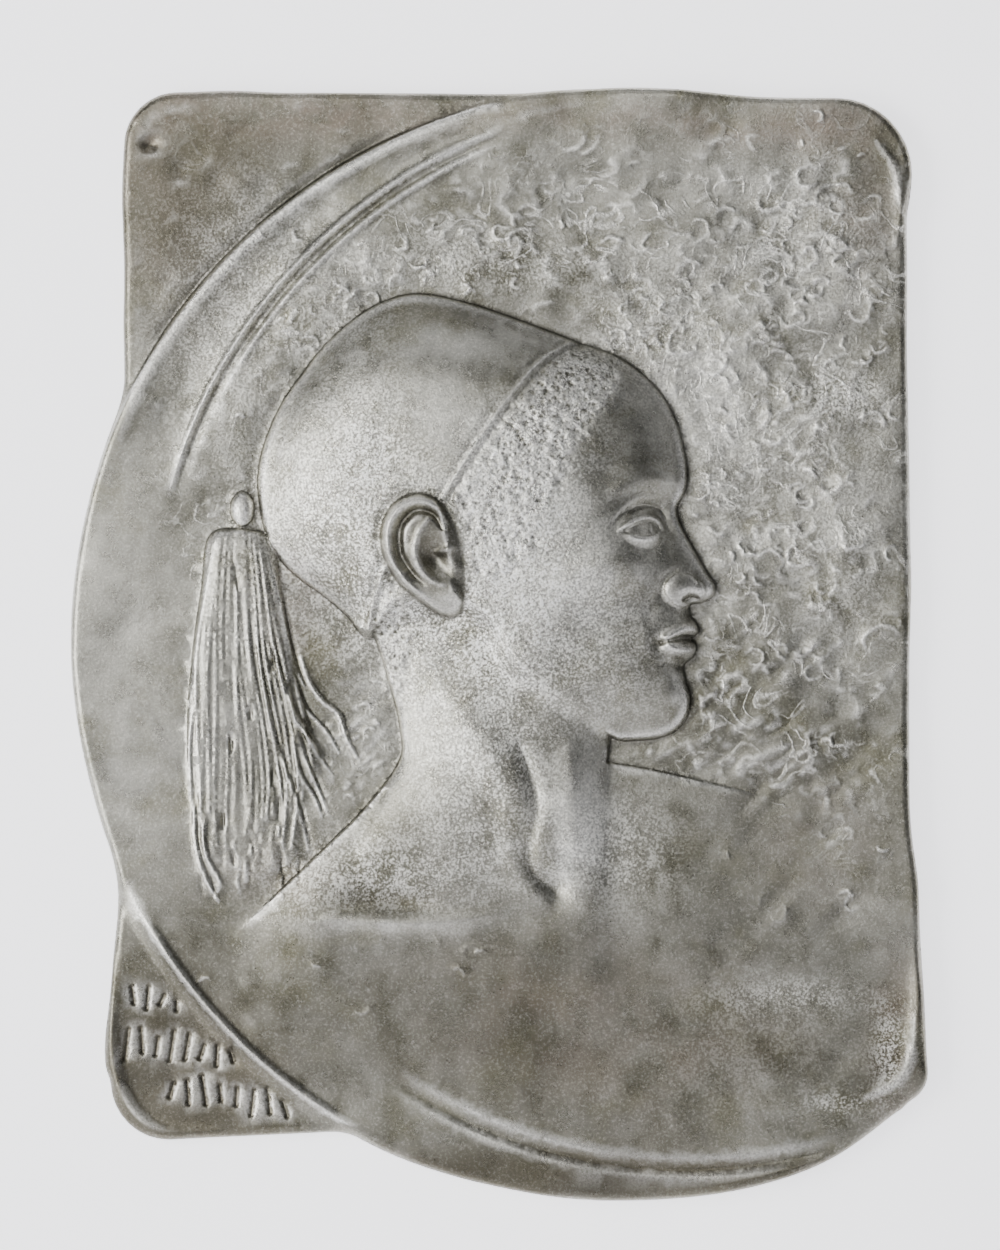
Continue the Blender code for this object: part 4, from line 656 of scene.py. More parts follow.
def head(field):
    """Skull, face, cap and ear, laid over the neck."""
    loop = np.vstack((spline(figure(PROFILE), steps=6),
                      spline(figure(JAW + NAPE + CAP_BACK + CAP_TOP), steps=6)))
    layer, place = field.patch(loop, 0.008)
    x, z, cells = layer.x, layer.z, 1.0 / layer.step
    edge = depth_inside(x, z, loop)
    within = edge > 0
    free = np.vstack((spline(figure(CAP_BACK + CAP_TOP), steps=6), spline(figure(PROFILE), steps=6)))
    free_edge, _ = line_distance(x, z, free)
    size = HEAD_HEIGHT
    skull = layer.dome(spot(-0.50, 0.63), 26.0 * UNIT, (0.53 * size, 0.47 * size), 0, 2.6)
    face = layer.dome(spot(-0.335, 0.40), 22.5 * UNIT, (0.385 * size, 0.44 * size), 8, 2.6)
    mass = soft_max(skull, face, 7.0 * UNIT) * quarter_round(free_edge, 40 * UNIT)
    muzzle = layer.dome(spot(-0.12, 0.23), 13.5 * UNIT, (0.160 * size, 0.19 * size), 0, 2.2)
    mass = soft_max(mass, muzzle, 6.0 * UNIT)
    bridge = layer.dome(spot(-0.01, 0.44), 8.5 * UNIT, (0.085 * size, 0.17 * size), -14)
    layer.h = blur_within(soft_max(mass, bridge, 4.0 * UNIT), within, 4.0 * UNIT * cells)
    face_masses(layer)
    layer.h = blur_within(layer.h, within, 1.2 * UNIT * cells)
    thin = 5.0 * UNIT * quarter_round(free_edge, 4.0 * UNIT)
    rounded = soft_max(layer.h * quarter_round(free_edge, 9.0 * UNIT), thin, 2.0 * UNIT)
    layer.h = np.where(within, rounded, 0.0)
    layer.h *= 0.84 + 0.16 * quarter_round(edge, 9.0 * UNIT)
    marks = Field(layer.xs, layer.zs, layer.step)
    eye(marks)
    nose(marks)
    mouth(marks)
    layer.h += marks.h * smooth(edge, -0.0003, 0.0020)
    shell = np.vstack((spline(figure(RIM_BACK[-1:] + CAP_BACK + CAP_TOP + RIM_FRONT[:1]), steps=6),
                       spline(figure(RIM_FRONT), steps=6), spline(figure(RIM_BACK), steps=6)))
    cloth = depth_inside(x, z, shell)
    layer.h += 1.5 * UNIT * smooth(cloth, -0.0005, 0.0010)
    for points in (RIM_FRONT, RIM_BACK):
        gap, _ = line_distance(x, z, spline(figure(points), steps=6))
        layer.h += 0.9 * UNIT * bell(gap, 1.15 * UNIT)
        layer.h -= 0.5 * UNIT * bell(gap - 2.4 * UNIT, 1.2 * UNIT)
    below = field.h[place]
    base = GROUND - 0.4 * DISH_DEPTH
    halo = 0.0005 * bell(edge + 0.0026, 0.0026) * (1 - smooth(edge, -0.0006, 0.0))
    halo *= 1 - smooth(free_edge, 0.004, 0.012)
    raised = np.maximum(base + layer.h, below)
    aside, above = turned(x, z, spot(-0.655, 0.265), 0)
    under_ear = np.exp(-(aside / (0.085 * size)) ** 2 - (above / (0.10 * size)) ** 2)
    inner = smooth(free_edge, 0.003, 0.024)
    blend = smooth(edge, -0.0006 * (1 - inner), 0.0009 + (0.0105 + 0.0150 * under_ear) * inner)
    field.h[place] = below * (1 - blend) + raised * blend - halo
    ear(field)


def strand_paths(count):
    """Wavy strands of the tassel from its knot to its ragged end, with their lift in carving units."""
    rng = np.random.default_rng(RANDOM_SEED + 1)
    heights = np.array((0.505, 0.36, 0.20, 0.05, -0.10, -0.22, -0.31))
    left = np.array((-1.112, -1.140, -1.158, -1.168, -1.165, -1.150, -1.120))
    right = np.array((-0.996, -0.962, -0.925, -0.888, -0.866, -0.890, -0.915))
    paths = []
    for index in range(count):
        share = (index + 0.5 + rng.uniform(-0.3, 0.3)) / count
        wave = rng.uniform(0.010, 0.030)
        phase = rng.uniform(0, 6.28)
        end = rng.uniform(0.76, 1.0)
        line = []
        for part in np.linspace(0, 1, 9):
            height = 0.505 + end * part * (heights[-1] - 0.505)
            place = share + wave * math.sin(phase + 8 * part) * min(1.0, 3 * part)
            place += 0.04 * math.sin(3.2 * part) * math.sin(6.28 * share)
            low = np.interp(height, heights[::-1], left[::-1])
            high = np.interp(height, heights[::-1], right[::-1])
            line.append((low + (high - low) * place, height))
        paths.append((figure(line), STRAND_LIFT * rng.uniform(0.55, 1.15) * (0.7 + 0.5 * share)))
    return paths


def tassel(field):
    """Knob and body of the tassel, with its strands."""
    size = HEAD_HEIGHT
    loop = spline(figure(TASSEL), closed=True, steps=5)
    layer, place = field.patch(np.vstack((loop, figure([(-1.06, 0.62), (-0.74, -0.42)]))), 0.006)
    edge = depth_inside(layer.x, layer.z, loop)
    fall = figure([(0, -0.30), (0, 0.45)])[:, 1]
    lift = (0.9 + 3.6 * smooth(layer.z, fall[0], fall[1])) * UNIT
    layer.h = lift * quarter_round(np.clip(edge, 0, None), 9 * UNIT) * smooth(edge, -0.0004, 0.0012)
    strands = Field(layer.xs, layer.zs, layer.step)
    for line, height in strand_paths(STRANDS):
        strands.ridge(line, height * UNIT, 0.30 * 0.26 * size / STRANDS, False, 2)
    fade = smooth(layer.z, *figure([(0, -0.32), (0, -0.18)])[:, 1])
    layer.h += strands.h * smooth(edge, -0.003, 0.001) * (0.5 + 0.5 * fade)
    stray = (
        ((-0.915, 0.22), (-0.893, 0.153), (-0.860, 0.105), (-0.826, 0.078), (-0.805, 0.02), (-0.772, -0.04)),
        ((-0.945, 0.13), (-0.915, 0.05), (-0.875, 0.00), (-0.855, -0.04)),
        ((-1.160, -0.12), (-1.163, -0.20), (-1.145, -0.29), (-1.105, -0.368)),
        ((-1.138, -0.16), (-1.140, -0.24), (-1.100, -0.325)),
    )
    for points in stray:
        layer.ridge(figure(points), 1.5 * UNIT, 0.0065 * size)
    round_knob = layer.dome(spot(*KNOB), 1.0, (0.060 * size, 0.062 * size))
    layer.h -= 1.6 * UNIT * round_knob * (1 - smooth(layer.h, 0.0, 0.001))
    layer.h = np.maximum(layer.h, layer.dome(spot(*KNOB), 5.0 * UNIT, (0.029 * size, 0.042 * size)))
    layer.ridge(figure(((-1.085, 0.527), (-1.055, 0.517), (-1.022, 0.527))), 1.5 * UNIT, 0.012 * size)
    field.h[place] += layer.h


def edge_rolls(field):
    """Heavier turned lips at the top right and lower left corners, and waves along the left edge."""
    left = SLAB_SHIFT - SLAB_WIDTH / 2
    right = left + SLAB_WIDTH
    foot = HANG_DROP - SLAB_HEIGHT
    field.ridge(((right - 0.014, -0.016), (right - 0.0045, -0.030), (right - 0.0022, -0.050),
                 (right - 0.0046, -0.066)), 0.0013, 0.0024)
    field.ridge(((left - 0.0045, foot + 0.085), (left - 0.0055, foot + 0.050), (left - 0.0015, foot + 0.024),
                 (left + 0.014, foot + 0.0055), (left + 0.045, foot + 0.0040)), 0.0018, 0.0030)
    field.ridge(((right + 0.004, foot + 0.090), (right + 0.0055, foot + 0.060), (right - 0.001, foot + 0.030),
                 (right - 0.020, foot + 0.018)), 0.0014, 0.0032)


STROKE_DEPTH = 0.0014
# Rows of strokes: left end, height, length, number and stroke height.
STROKE_ROWS = (
    (-0.170, -0.400, 0.026, 4, 0.012),
    (-0.173, -0.419, 0.054, 8, 0.016),
    (-0.153, -0.440, 0.058, 8, 0.016),
)


def stroke_lines():
    """Rows of short strokes where the maker's words stand; they are no letters."""
    rng = np.random.default_rng(RANDOM_SEED + 2)
    lines = []
    for start_x, start_z, length, count, tall in STROKE_ROWS:
        for index in range(count):
            x = start_x + length * (index + 0.5) / count
            z = start_z - 0.16 * (x - start_x) + rng.uniform(-0.0018, 0.0018)
            lean = rng.uniform(-0.0011, 0.0011)
            half = tall * rng.uniform(0.17, 0.42)
            lines.append(np.array(((x - lean, z - half), (x + lean, z + half))))
    return lines


def inscription(field):
    for line in stroke_lines():
        field.ridge(line, -STROKE_DEPTH, 0.0011, False, 2)


def whole_ground(step):
    """The uneven ground over the whole plaque, with a margin round its outline."""
    loop = polar_place(*outline_loop(GRID_OUTLINE_POINTS))
    low, high = loop.min(axis=0) - GRID_MARGIN, loop.max(axis=0) + GRID_MARGIN
    field = Field(np.arange(low[0], high[0], step), np.arange(low[1], high[1], step), step)
    field.h += GROUND
    ground_unevenness(field)
    return field


def relief(step):
    """Front heights over the wall for the whole plaque."""
    field = whole_ground(step)
    disc_forms(field)
    bust(field)
    head(field)
    tassel(field)
    inscription(field)
    edge_rolls(field)
    return field, edge_distance(field)


def turn_edges(heights, edge):
    """Rolls the front back to the wall round the outline."""
    return heights - ROLL_RADIUS * (1.0 - quarter_round(edge, ROLL_RADIUS))


def soft_noise(field, size, seed):
    """Random swellings of about one size over the whole field, with a spread of 1."""
    rng = np.random.default_rng(RANDOM_SEED + seed)
    soft = blur(rng.standard_normal(field.x.shape), size / field.step)
    return soft / soft.std()


def spots_share(x, z, spots):
    """How far places lie in soft spots: where from the hanging point, half sizes, strength."""
    total = np.zeros(np.shape(x))
    for centre_x, centre_z, reach_x, reach_z, strength in spots:
        total = total + strength * np.exp(-((x - centre_x) / reach_x) ** 2 - ((z - centre_z) / reach_z) ** 2)
    return np.clip(total, 0.0, 1.0)


def off_figure(field):
    """1 on the ground, 0 on the head, neck, shoulders and tassel."""
    coarse = Field(field.xs[::4], field.zs[::4], 4 * field.step)
    body = np.vstack((
        figure([(-0.97, -0.345)]), spline(figure(SHOULDER[::-1] + NECK_BACK[1::-1]), steps=3),
        spline(figure(CAP_BACK + CAP_TOP), steps=3), spline(figure(PROFILE), steps=2),
        spline(figure(FAR_SHOULDER), steps=3),
        figure(((0.36, -0.30), (0.30, -0.62), (-0.40, -0.80), (-0.90, -0.62))),
    ))
    low = np.minimum(depth_inside(coarse.x, coarse.z, body), 0.02)
    strands = depth_inside(coarse.x, coarse.z, spline(figure(TASSEL), closed=True, steps=3))
    coarse.h = 1.0 - smooth(np.maximum(low, strands), -0.002, 0.004)
    return coarse.at(field.x, field.z)


# The tables of soft spots: place from the hanging point, half sizes and strength, in metres.
# Where the ground is thumbed: upper right, round the cap, left of the tassel, right of the face.
DABBED = (
    (0.120, -0.075, 0.080, 0.060, 1.0), (0.020, -0.055, 0.075, 0.030, 0.9),
    (-0.075, -0.110, 0.035, 0.045, 0.9), (0.130, -0.190, 0.060, 0.090, 1.0),
    (-0.130, -0.190, 0.030, 0.070, 0.55), (0.120, -0.300, 0.050, 0.060, 0.6),
    (-0.060, -0.290, 0.022, 0.045, 0.5), (-0.140, -0.030, 0.030, 0.030, 0.25),
)
# Where fine white wrinkles lie thickest.
NETTED = (
    (-0.070, -0.100, 0.035, 0.035, 1.0), (-0.010, -0.070, 0.040, 0.018, 0.8),
    (0.065, -0.105, 0.035, 0.030, 1.0), (0.098, -0.160, 0.022, 0.045, 1.0),
    (0.150, -0.120, 0.040, 0.060, 0.55), (0.120, -0.050, 0.050, 0.035, 0.5),
    (-0.085, -0.150, 0.018, 0.030, 0.8), (-0.060, -0.270, 0.020, 0.040, 0.6),
    (0.120, -0.230, 0.040, 0.030, 0.55), (0.155, -0.340, 0.030, 0.050, 0.30),
    (0.060, -0.345, 0.050, 0.020, 0.30), (-0.060, -0.385, 0.060, 0.014, 0.30),
)
# Where the metal is rubbed pale in fine specks.
FROSTED = (
    (-0.075, -0.185, 0.045, 0.040, 0.75), (-0.040, -0.235, 0.040, 0.030, 0.70),
    (0.005, -0.190, 0.035, 0.035, 0.80), (0.015, -0.150, 0.030, 0.020, 0.50),
    (0.040, -0.240, 0.040, 0.035, 0.45), (-0.010, -0.300, 0.030, 0.040, 0.60),
    (-0.060, -0.345, 0.050, 0.020, 0.55), (0.045, -0.335, 0.030, 0.025, 0.55),
    (-0.115, -0.060, 0.035, 0.030, 0.45), (-0.130, -0.110, 0.030, 0.035, 0.45),
    (0.065, -0.100, 0.030, 0.030, 0.5), (0.100, -0.160, 0.020, 0.040, 0.4),
    (0.135, -0.060, 0.040, 0.040, 0.35), (0.150, -0.190, 0.030, 0.070, 0.35),
    (-0.010, -0.070, 0.045, 0.014, 0.55), (0.105, -0.425, 0.050, 0.030, 0.15),
    (0.130, -0.400, 0.035, 0.008, 0.45), (-0.060, -0.150, 0.020, 0.030, 0.5),
    (-0.075, -0.095, 0.030, 0.020, 0.3), (0.172, -0.425, 0.007, 0.018, 0.9),
    (0.150, -0.448, 0.014, 0.005, 0.6), (0.150, -0.130, 0.020, 0.010, 0.6),
    (0.000, -0.250, 0.030, 0.040, 0.35),
)
# Broad paler patches: paler metal on parts of the ground, and painted highlight where the forms face the
# light, on the crescent's upper left, the disc's left edge, the cap, the temple and cheek, the neck, the
# tassel and the ridge below the collar bone.
PALE_AND_HIGHLIGHT_SPOTS = (
    (-0.126, -0.085, 0.035, 0.045, 0.50), (-0.173, -0.222, 0.024, 0.080, 0.50),
    (-0.160, -0.310, 0.024, 0.040, 0.30), (0.121, -0.054, 0.060, 0.050, 0.40),
    (0.074, -0.117, 0.026, 0.032, 0.7), (0.145, -0.200, 0.040, 0.070, 0.30),
    (-0.063, -0.076, 0.030, 0.022, 0.25), (-0.076, -0.175, 0.032, 0.036, 0.45),
    (-0.029, -0.150, 0.032, 0.024, 0.85), (0.014, -0.195, 0.034, 0.040, 1.0),
    (-0.018, -0.270, 0.030, 0.038, 0.60), (0.034, -0.322, 0.016, 0.030, 1.0),
    (-0.100, -0.190, 0.012, 0.040, 0.35), (-0.020, -0.108, 0.040, 0.012, 0.55),
    (0.040, -0.035, 0.080, 0.018, 0.20), (0.120, -0.392, 0.040, 0.009, 0.30),
    (-0.125, -0.260, 0.020, 0.070, 0.40), (0.045, -0.225, 0.035, 0.030, 0.35),
    (0.098, -0.150, 0.014, 0.050, 0.60), (0.016, -0.205, 0.018, 0.026, 1.0),
    (-0.055, -0.3675, 0.045, 0.0030, 0.60), (0.033, -0.322, 0.010, 0.022, 0.6),
    (0.120, -0.365, 0.040, 0.030, 0.12),
)
# Warm brown stains: the rim's corners and top edge, the far lip, the chest.
STAINED = (
    (-0.155, -0.025, 0.030, 0.030, 0.85), (-0.110, -0.006, 0.060, 0.012, 0.75),
    (-0.020, -0.006, 0.120, 0.008, 0.65), (0.120, -0.012, 0.060, 0.010, 0.7),
    (0.160, -0.030, 0.018, 0.040, 0.75), (0.070, -0.425, 0.060, 0.040, 0.35),
    (0.010, -0.405, 0.060, 0.030, 0.45), (0.176, -0.420, 0.012, 0.040, 0.70),
    (-0.130, -0.440, 0.040, 0.030, 0.45), (-0.095, -0.225, 0.014, 0.030, 0.45),
    (-0.110, -0.350, 0.030, 0.020, 0.35), (0.020, -0.478, 0.120, 0.008, 0.35),
    (0.140, -0.330, 0.030, 0.030, 0.35), (-0.150, -0.070, 0.020, 0.030, 0.5),
)
# Darker ground: dirt in the corners, along the edges and on the chest, and painted shade along the top of the
# forehead and the cap, in the ear's hollow, in the groove above the collar bone and inside the top right lip.
GRIME_AND_SHADE_SPOTS = (
    (-0.146, -0.050, 0.034, 0.045, 1.00), (-0.120, -0.020, 0.050, 0.014, 0.60),
    (0.167, -0.030, 0.012, 0.030, 0.8), (-0.150, -0.430, 0.040, 0.050, 1.00),
    (-0.173, -0.090, 0.006, 0.050, 0.5), (0.040, -0.482, 0.100, 0.012, 1.0),
    (0.172, -0.430, 0.014, 0.014, 0.8), (0.060, -0.120, 0.020, 0.012, 0.25),
    (0.000, -0.418, 0.100, 0.050, 0.50), (-0.162, -0.450, 0.030, 0.030, 0.80),
    (-0.020, -0.096, 0.040, 0.006, 0.40), (0.110, -0.300, 0.040, 0.030, 0.20),
    (0.120, -0.420, 0.045, 0.030, 0.12), (-0.049, -0.3560, 0.026, 0.0050, 0.60),
    (0.020, -0.476, 0.090, 0.008, 0.80), (-0.034, -0.200, 0.009, 0.013, 0.90),
)


def press(field, centre, radius, depth, rng):
    """One finger press: inside it the old surface is wiped away, and clay is pushed up on one side."""
    place = field.window([centre], 1.6 * radius)
    if field.h[place].size == 0:
        return
    along, across = turned(field.x[place], field.z[place], centre, rng.uniform(0, 180))
    angle = np.arctan2(across, along)
    wobble = 1.0 + 0.10 * np.sin(3 * angle + rng.uniform(0, 6.3))
    wobble += 0.06 * np.sin(5 * angle + rng.uniform(0, 6.3))
    far = np.hypot(along / radius, across / (0.8 * radius)) / wobble
    wipe = 0.8 * (1.0 - smooth(far, 0.70, 1.10))
    bowl = -depth * (1.0 - far ** 2) + 0.45 * depth * along / radius
    side = np.clip(np.cos(angle - rng.uniform(0, 6.3)), 0.0, 1.0)
    old = field.h[place]
    field.h[place] = old * (1 - wipe) + bowl * wipe + 0.9 * depth * side * bell(far - 1.05, 0.20)


def thumb_dabs(field, zone):
    """Overlapping finger presses, with single crests and rings among them."""
    rng = np.random.default_rng(RANDOM_SEED + 10)
    skin = Field(field.xs, field.zs, field.step)
    low, high = (field.xs[0], field.zs[0]), (field.xs[-1], field.zs[-1])
    for _ in range(PRESSES):
        centre = rng.uniform(low, high)
        depth = 0.00056 * rng.uniform(0.3, 1.0)
        press(skin, centre, rng.uniform(0.0040, 0.0090), depth, rng)
    for _ in range(SINGLE_CURLS):
        curl(skin, rng.uniform(low, high), rng.uniform(0.0030, 0.0090), 0.0002 + 0.0009 * rng.uniform() ** 2,
             rng.uniform(0.0007, 0.0012), rng)
    return skin.h * zone


def curl(field, centre, radius, height, width, rng):
    """A thin crest that bends round a place."""
    first = rng.uniform(0, 6.3)
    turn = np.linspace(first, first + rng.uniform(1.2, 4.5), 6)
    reach = radius * rng.uniform(0.85, 1.15, 6)
    ring = centre + np.column_stack((reach * np.cos(turn), 0.8 * reach * np.sin(turn)))
    field.ridge(ring, height, width, True, 3)


def crowded_curls(field):
    """Small crests crowded where the wrinkles lie thickest, near the cap and the brow."""
    rng = np.random.default_rng(RANDOM_SEED + 50)
    low, high = (field.xs[0], field.zs[0]), (field.xs[-1], field.zs[-1])
    for centre in rng.uniform(low, high, (CROWDED_TRIES, 2)):
        if rng.uniform() < 0.9 * spots_share(centre[0], centre[1], NETTED) ** 1.5:
            curl(field, centre, rng.uniform(0.0020, 0.0048), rng.uniform(0.00020, 0.00070),
                 rng.uniform(0.0005, 0.0008), rng)


def diagonal_smears(field):
    """Long smears that rise to the right, beside the chin and below it."""
    rng = np.random.default_rng(RANDOM_SEED + 15)
    for x, z, reach_x, reach_z, count in ((0.120, -0.270, 0.045, 0.040, 70),
                                          (0.130, -0.340, 0.040, 0.040, 35)):
        for _ in range(count):
            centre = (x + reach_x * rng.uniform(-1, 1), z + reach_z * rng.uniform(-1, 1))
            field.swell(centre, rng.choice((-1, 1)) * rng.uniform(0.00012, 0.00036),
                        (rng.uniform(0.008, 0.018), rng.uniform(0.0016, 0.0034)), rng.uniform(28, 50))


def short_strokes(field, centres, length, width, height, direction, spread, rng):
    """Short tool strokes about one direction."""
    for centre in centres:
        tilt = direction + rng.uniform(-spread, spread)
        long_half = length * rng.uniform(0.6, 1.2)
        field.swell(centre, height * rng.uniform(0.4, 1.0), (long_half, width * rng.uniform(0.8, 1.3)), tilt)


def places_within(polygon, count, rng):
    """Random places inside a closed line."""
    low, high = polygon.min(axis=0), polygon.max(axis=0)
    spots = rng.uniform(low, high, (4 * count, 2))
    return spots[inside(spots[:, 0], spots[:, 1], polygon)][:count]


# Outlines of the hair, the cap's cloth and the hatched areas, in shares of the head's height.
HAIR = (
    (-0.262, 0.950), (-0.185, 0.925), (-0.150, 0.860), (-0.195, 0.780), (-0.255, 0.700), (-0.300, 0.610),
    (-0.335, 0.500), (-0.395, 0.420), (-0.470, 0.385), (-0.510, 0.420), (-0.530, 0.520), (-0.560, 0.585),
    (-0.50, 0.69), (-0.42, 0.805), (-0.34, 0.895),
)
NAPE_HAIR = (
    (-0.745, 0.270), (-0.735, 0.420), (-0.690, 0.380), (-0.650, 0.330), (-0.650, 0.200), (-0.672, 0.120),
    (-0.712, 0.150),
)
CLOTH = RIM_BACK[-1:] + CAP_BACK + CAP_TOP + RIM_FRONT
BEHIND_NECK = ((-0.84, 0.22), (-0.745, 0.16), (-0.70, 0.05), (-0.70, -0.03), (-0.80, -0.12), (-0.86, 0.0))
OVER_SHOULDER = (
    (-0.16, 0.00), (0.02, 0.04), (0.26, 0.08), (0.34, -0.02), (0.22, -0.10), (0.05, -0.07), (-0.14, -0.035),
)


def collar_bone(field):
    """A dark hollow with a soft bright ridge below it, near the foot of the shoulder."""
    field.swell((-0.049, -0.3555), -0.0006, (0.024, 0.0045), 0)
    field.swell((-0.058, -0.3670), 0.0005, (0.046, 0.0026), -4)


def tool_marks(field):
    """Curls of the hair, stitches of the cap, hatching behind the neck and over the far shoulder."""
    rng = np.random.default_rng(RANDOM_SEED + 20)
    for area, count in ((HAIR, HAIR_MARKS), (NAPE_HAIR, NAPE_MARKS)):
        polygon = spline(figure(area), closed=True, steps=3)
        for centre in places_within(polygon, count, rng):
            size = rng.uniform(0.0009, 0.0014)
            field.swell(centre, UNIT * rng.choice((-0.42, 0.34)) * rng.uniform(0.5, 1.0), (1.4 * size, size),
                        rng.uniform(0, 180))
    cloth = spline(figure(CLOTH), closed=True, steps=3)
    for sign in (-1, 1):
        centres = places_within(cloth, CLOTH_MARKS, rng)
        short_strokes(field, centres, 0.0026, 0.0010, sign * 0.14 * UNIT, 60, 40, rng)
    for area, count, length, height, direction in ((BEHIND_NECK, 26, 0.0060, 0.34, 40),
                                                   (OVER_SHOULDER, 60, 0.0065, 0.22, 32)):
        polygon = figure(area)
        for sign in (-1, 1):
            short_strokes(field, places_within(polygon, count, rng), length, 0.0009, sign * height * UNIT,
                          direction, 14, rng)


# Dark slits between the tassel's strands, in shares of the head's height, and their half length.
SLITS = (
    (-0.976, 0.206, 0.030), (-1.076, 0.010, 0.026), (-0.978, -0.066, 0.028), (-0.962, -0.150, 0.036),
    (-1.096, -0.172, 0.024), (-1.071, -0.260, 0.022), (-1.062, 0.400, 0.034), (-0.958, -0.262, 0.036),
    (-1.030, 0.080, 0.020),
)
# Strands that fan over the tassel's front, in shares of the head's height.
FANNED = (
    ((-0.990, 0.30), (-0.968, 0.20), (-0.930, 0.08), (-0.905, -0.02), (-0.872, -0.10), (-0.848, -0.16)),
    ((-1.010, 0.20), (-0.985, 0.08), (-0.960, -0.02), (-0.925, -0.12), (-0.900, -0.22), (-0.893, -0.27)),
    ((-0.962, 0.36), (-0.945, 0.27), (-0.925, 0.19), (-0.900, 0.13)),
    ((-0.935, 0.02), (-0.915, -0.06), (-0.880, -0.12), (-0.862, -0.17)),
    ((-1.165, 0.10), (-1.175, 0.00), (-1.172, -0.10), (-1.160, -0.20)),
    ((-0.955, 0.20), (-0.930, 0.10), (-0.900, 0.03), (-0.865, -0.03), (-0.835, -0.07)),
    ((-0.930, 0.17), (-0.900, 0.09), (-0.855, 0.04), (-0.820, -0.02)),
)


def loose_strands(field):
    """Slits, crossing strands and ragged ends over the tassel."""
    size = HEAD_HEIGHT
    rng = np.random.default_rng(RANDOM_SEED + 25)
    for forward, up, half in SLITS:
        lean = rng.uniform(-0.10, 0.10)
        slit = ((forward - lean * half, up + half), (forward, up), (forward + lean * half, up - half))
        field.ridge(figure(slit), -1.7 * UNIT, 0.0050 * size, True, 3)
    for line in FANNED:
        field.ridge(figure(line), 0.9 * UNIT, 0.0055 * size)
        field.ridge(figure(line) + (0.0016, 0.0), -0.8 * UNIT, 0.0045 * size)
    for _ in range(WISPS):
        forward = rng.uniform(-1.16, -0.90)
        up = rng.uniform(-0.34, -0.20)
        wisp = ((forward, up + 0.04), (forward + rng.uniform(-0.01, 0.01), up), (forward, up - 0.03))
        field.ridge(figure(wisp), rng.choice((-0.5, 0.5)) * UNIT, 0.0040 * size, True, 3)


def crescent_streaks(field):
    """Brushed streaks that run along the crescent's upper arm."""
    rng = np.random.default_rng(RANDOM_SEED + 30)
    centre = np.array((DISC_SHIFT + 0.5 * MOON_SHIFT, -DISC_DROP + 0.5 * MOON_RISE))
    for _ in range(STREAKS):
        radius = DISC_RADIUS + rng.uniform(-0.024, -0.001)
        first = rng.uniform(92, 150)
        turn = np.radians(np.linspace(first, first + rng.uniform(6, 16), 4))
        line = centre + radius * np.column_stack((np.cos(turn), np.sin(turn)))
        height = rng.choice((-1, 1)) * rng.uniform(0.00005, 0.00018)
        field.ridge(line, height, rng.uniform(0.0010, 0.0022), True, 3)


def corner_scrapes(field):
    """Scraped and thumbed marks of the upper left corner."""
    rng = np.random.default_rng(RANDOM_SEED + 40)
    for _ in range(SCRAPES):
        centre = (rng.uniform(-0.170, -0.070), rng.uniform(-0.110, 0.000))
        reach = (rng.uniform(0.003, 0.009), rng.uniform(0.0009, 0.002))
        field.swell(centre, rng.uniform(-0.00026, 0.00026), reach, rng.uniform(0, 70))


def fine_relief(step):
    """The whole front with its fine carving."""
    field = whole_ground(step)
    edge = edge_distance(field)
    zone = spots_share(field.x, field.z, DABBED) * smooth(edge, 0.002, 0.008) * off_figure(field)
    field.h += thumb_dabs(field, zone)
    field.h += 0.00016 * soft_noise(field, 0.0026, 11) * (0.15 + 0.85 * zone)
    field.h += 0.00030 * soft_noise(field, 0.0060, 12) * (0.3 + 0.7 * zone)
    field.h += 0.00045 * soft_noise(field, 0.0120, 13)
    crowded_curls(field)
    diagonal_smears(field)
    corner_scrapes(field)
    disc_forms(field)
    crescent_streaks(field)
    bust(field)
    head(field)
    tassel(field)
    loose_strands(field)
    collar_bone(field)
    tool_marks(field)
    inscription(field)
    edge_rolls(field)
    return field, edge


def sample_shares(order):
    """Even places inside a triangle, clear of its sides, as shares of its three corners."""
    return np.array([(i, j, order - i - j) for i in range(1, order) for j in range(1, order - i)]) / order


def triangulate(points, edges):
    """Triangles over flat points, kept inside the closed edges."""
    flat = [Vector((p[0], p[1])) for p in points]
    out = delaunay_2d_cdt(flat, edges, [], 1, 1e-6)
    return np.array([(v.x, v.y) for v in out[0]]), np.array(out[2]), out[3]


def refine(field, loop, seeds, lines, weight, budget):
    """Triangles over a loop, with points added where flat facets stray most from the carving."""
    count = len(loop)
    fixed = [loop, seeds]
    edges = [(i, (i + 1) % count) for i in range(count)]
    total = count + len(seeds)
    for line in lines:
        edges += [(total + i, total + i + 1) for i in range(len(line) - 1)]
        fixed.append(line)
        total += len(line)
    points = np.vstack([part for part in fixed if len(part)])
    shares = sample_shares(8)
    while True:
        places, faces, origin = triangulate(points, edges)
        if len(faces) >= budget:
            return places, faces, origin
        corners = places[faces]
        spots = np.einsum("sk,fkc->fsc", shares, corners)
        true = field.at(spots[..., 0], spots[..., 1])
        flat = np.einsum("sk,fk->fs", shares, field.at(corners[..., 0], corners[..., 1]))
        error = np.abs(true - flat) * weight(spots[..., 0], spots[..., 1])
        worst = error.argmax(axis=1)
        size = error[np.arange(len(faces)), worst]
        side = np.linalg.norm(corners - np.roll(corners, 1, axis=1), axis=2).max(axis=1)
        size = np.where(side > LEAST_SIDE * field.step, size, 0.0)
        room = max(int((budget - len(faces)) / 2) + 1, 1)
        take = np.argsort(-size)[:min(room, max(60, int(GROWTH * len(faces))))]
        take = take[size[take] > LEAST_ERROR]
        if len(take) == 0:
            return places, faces, origin
        points = np.vstack((points, spots[take, worst[take]]))


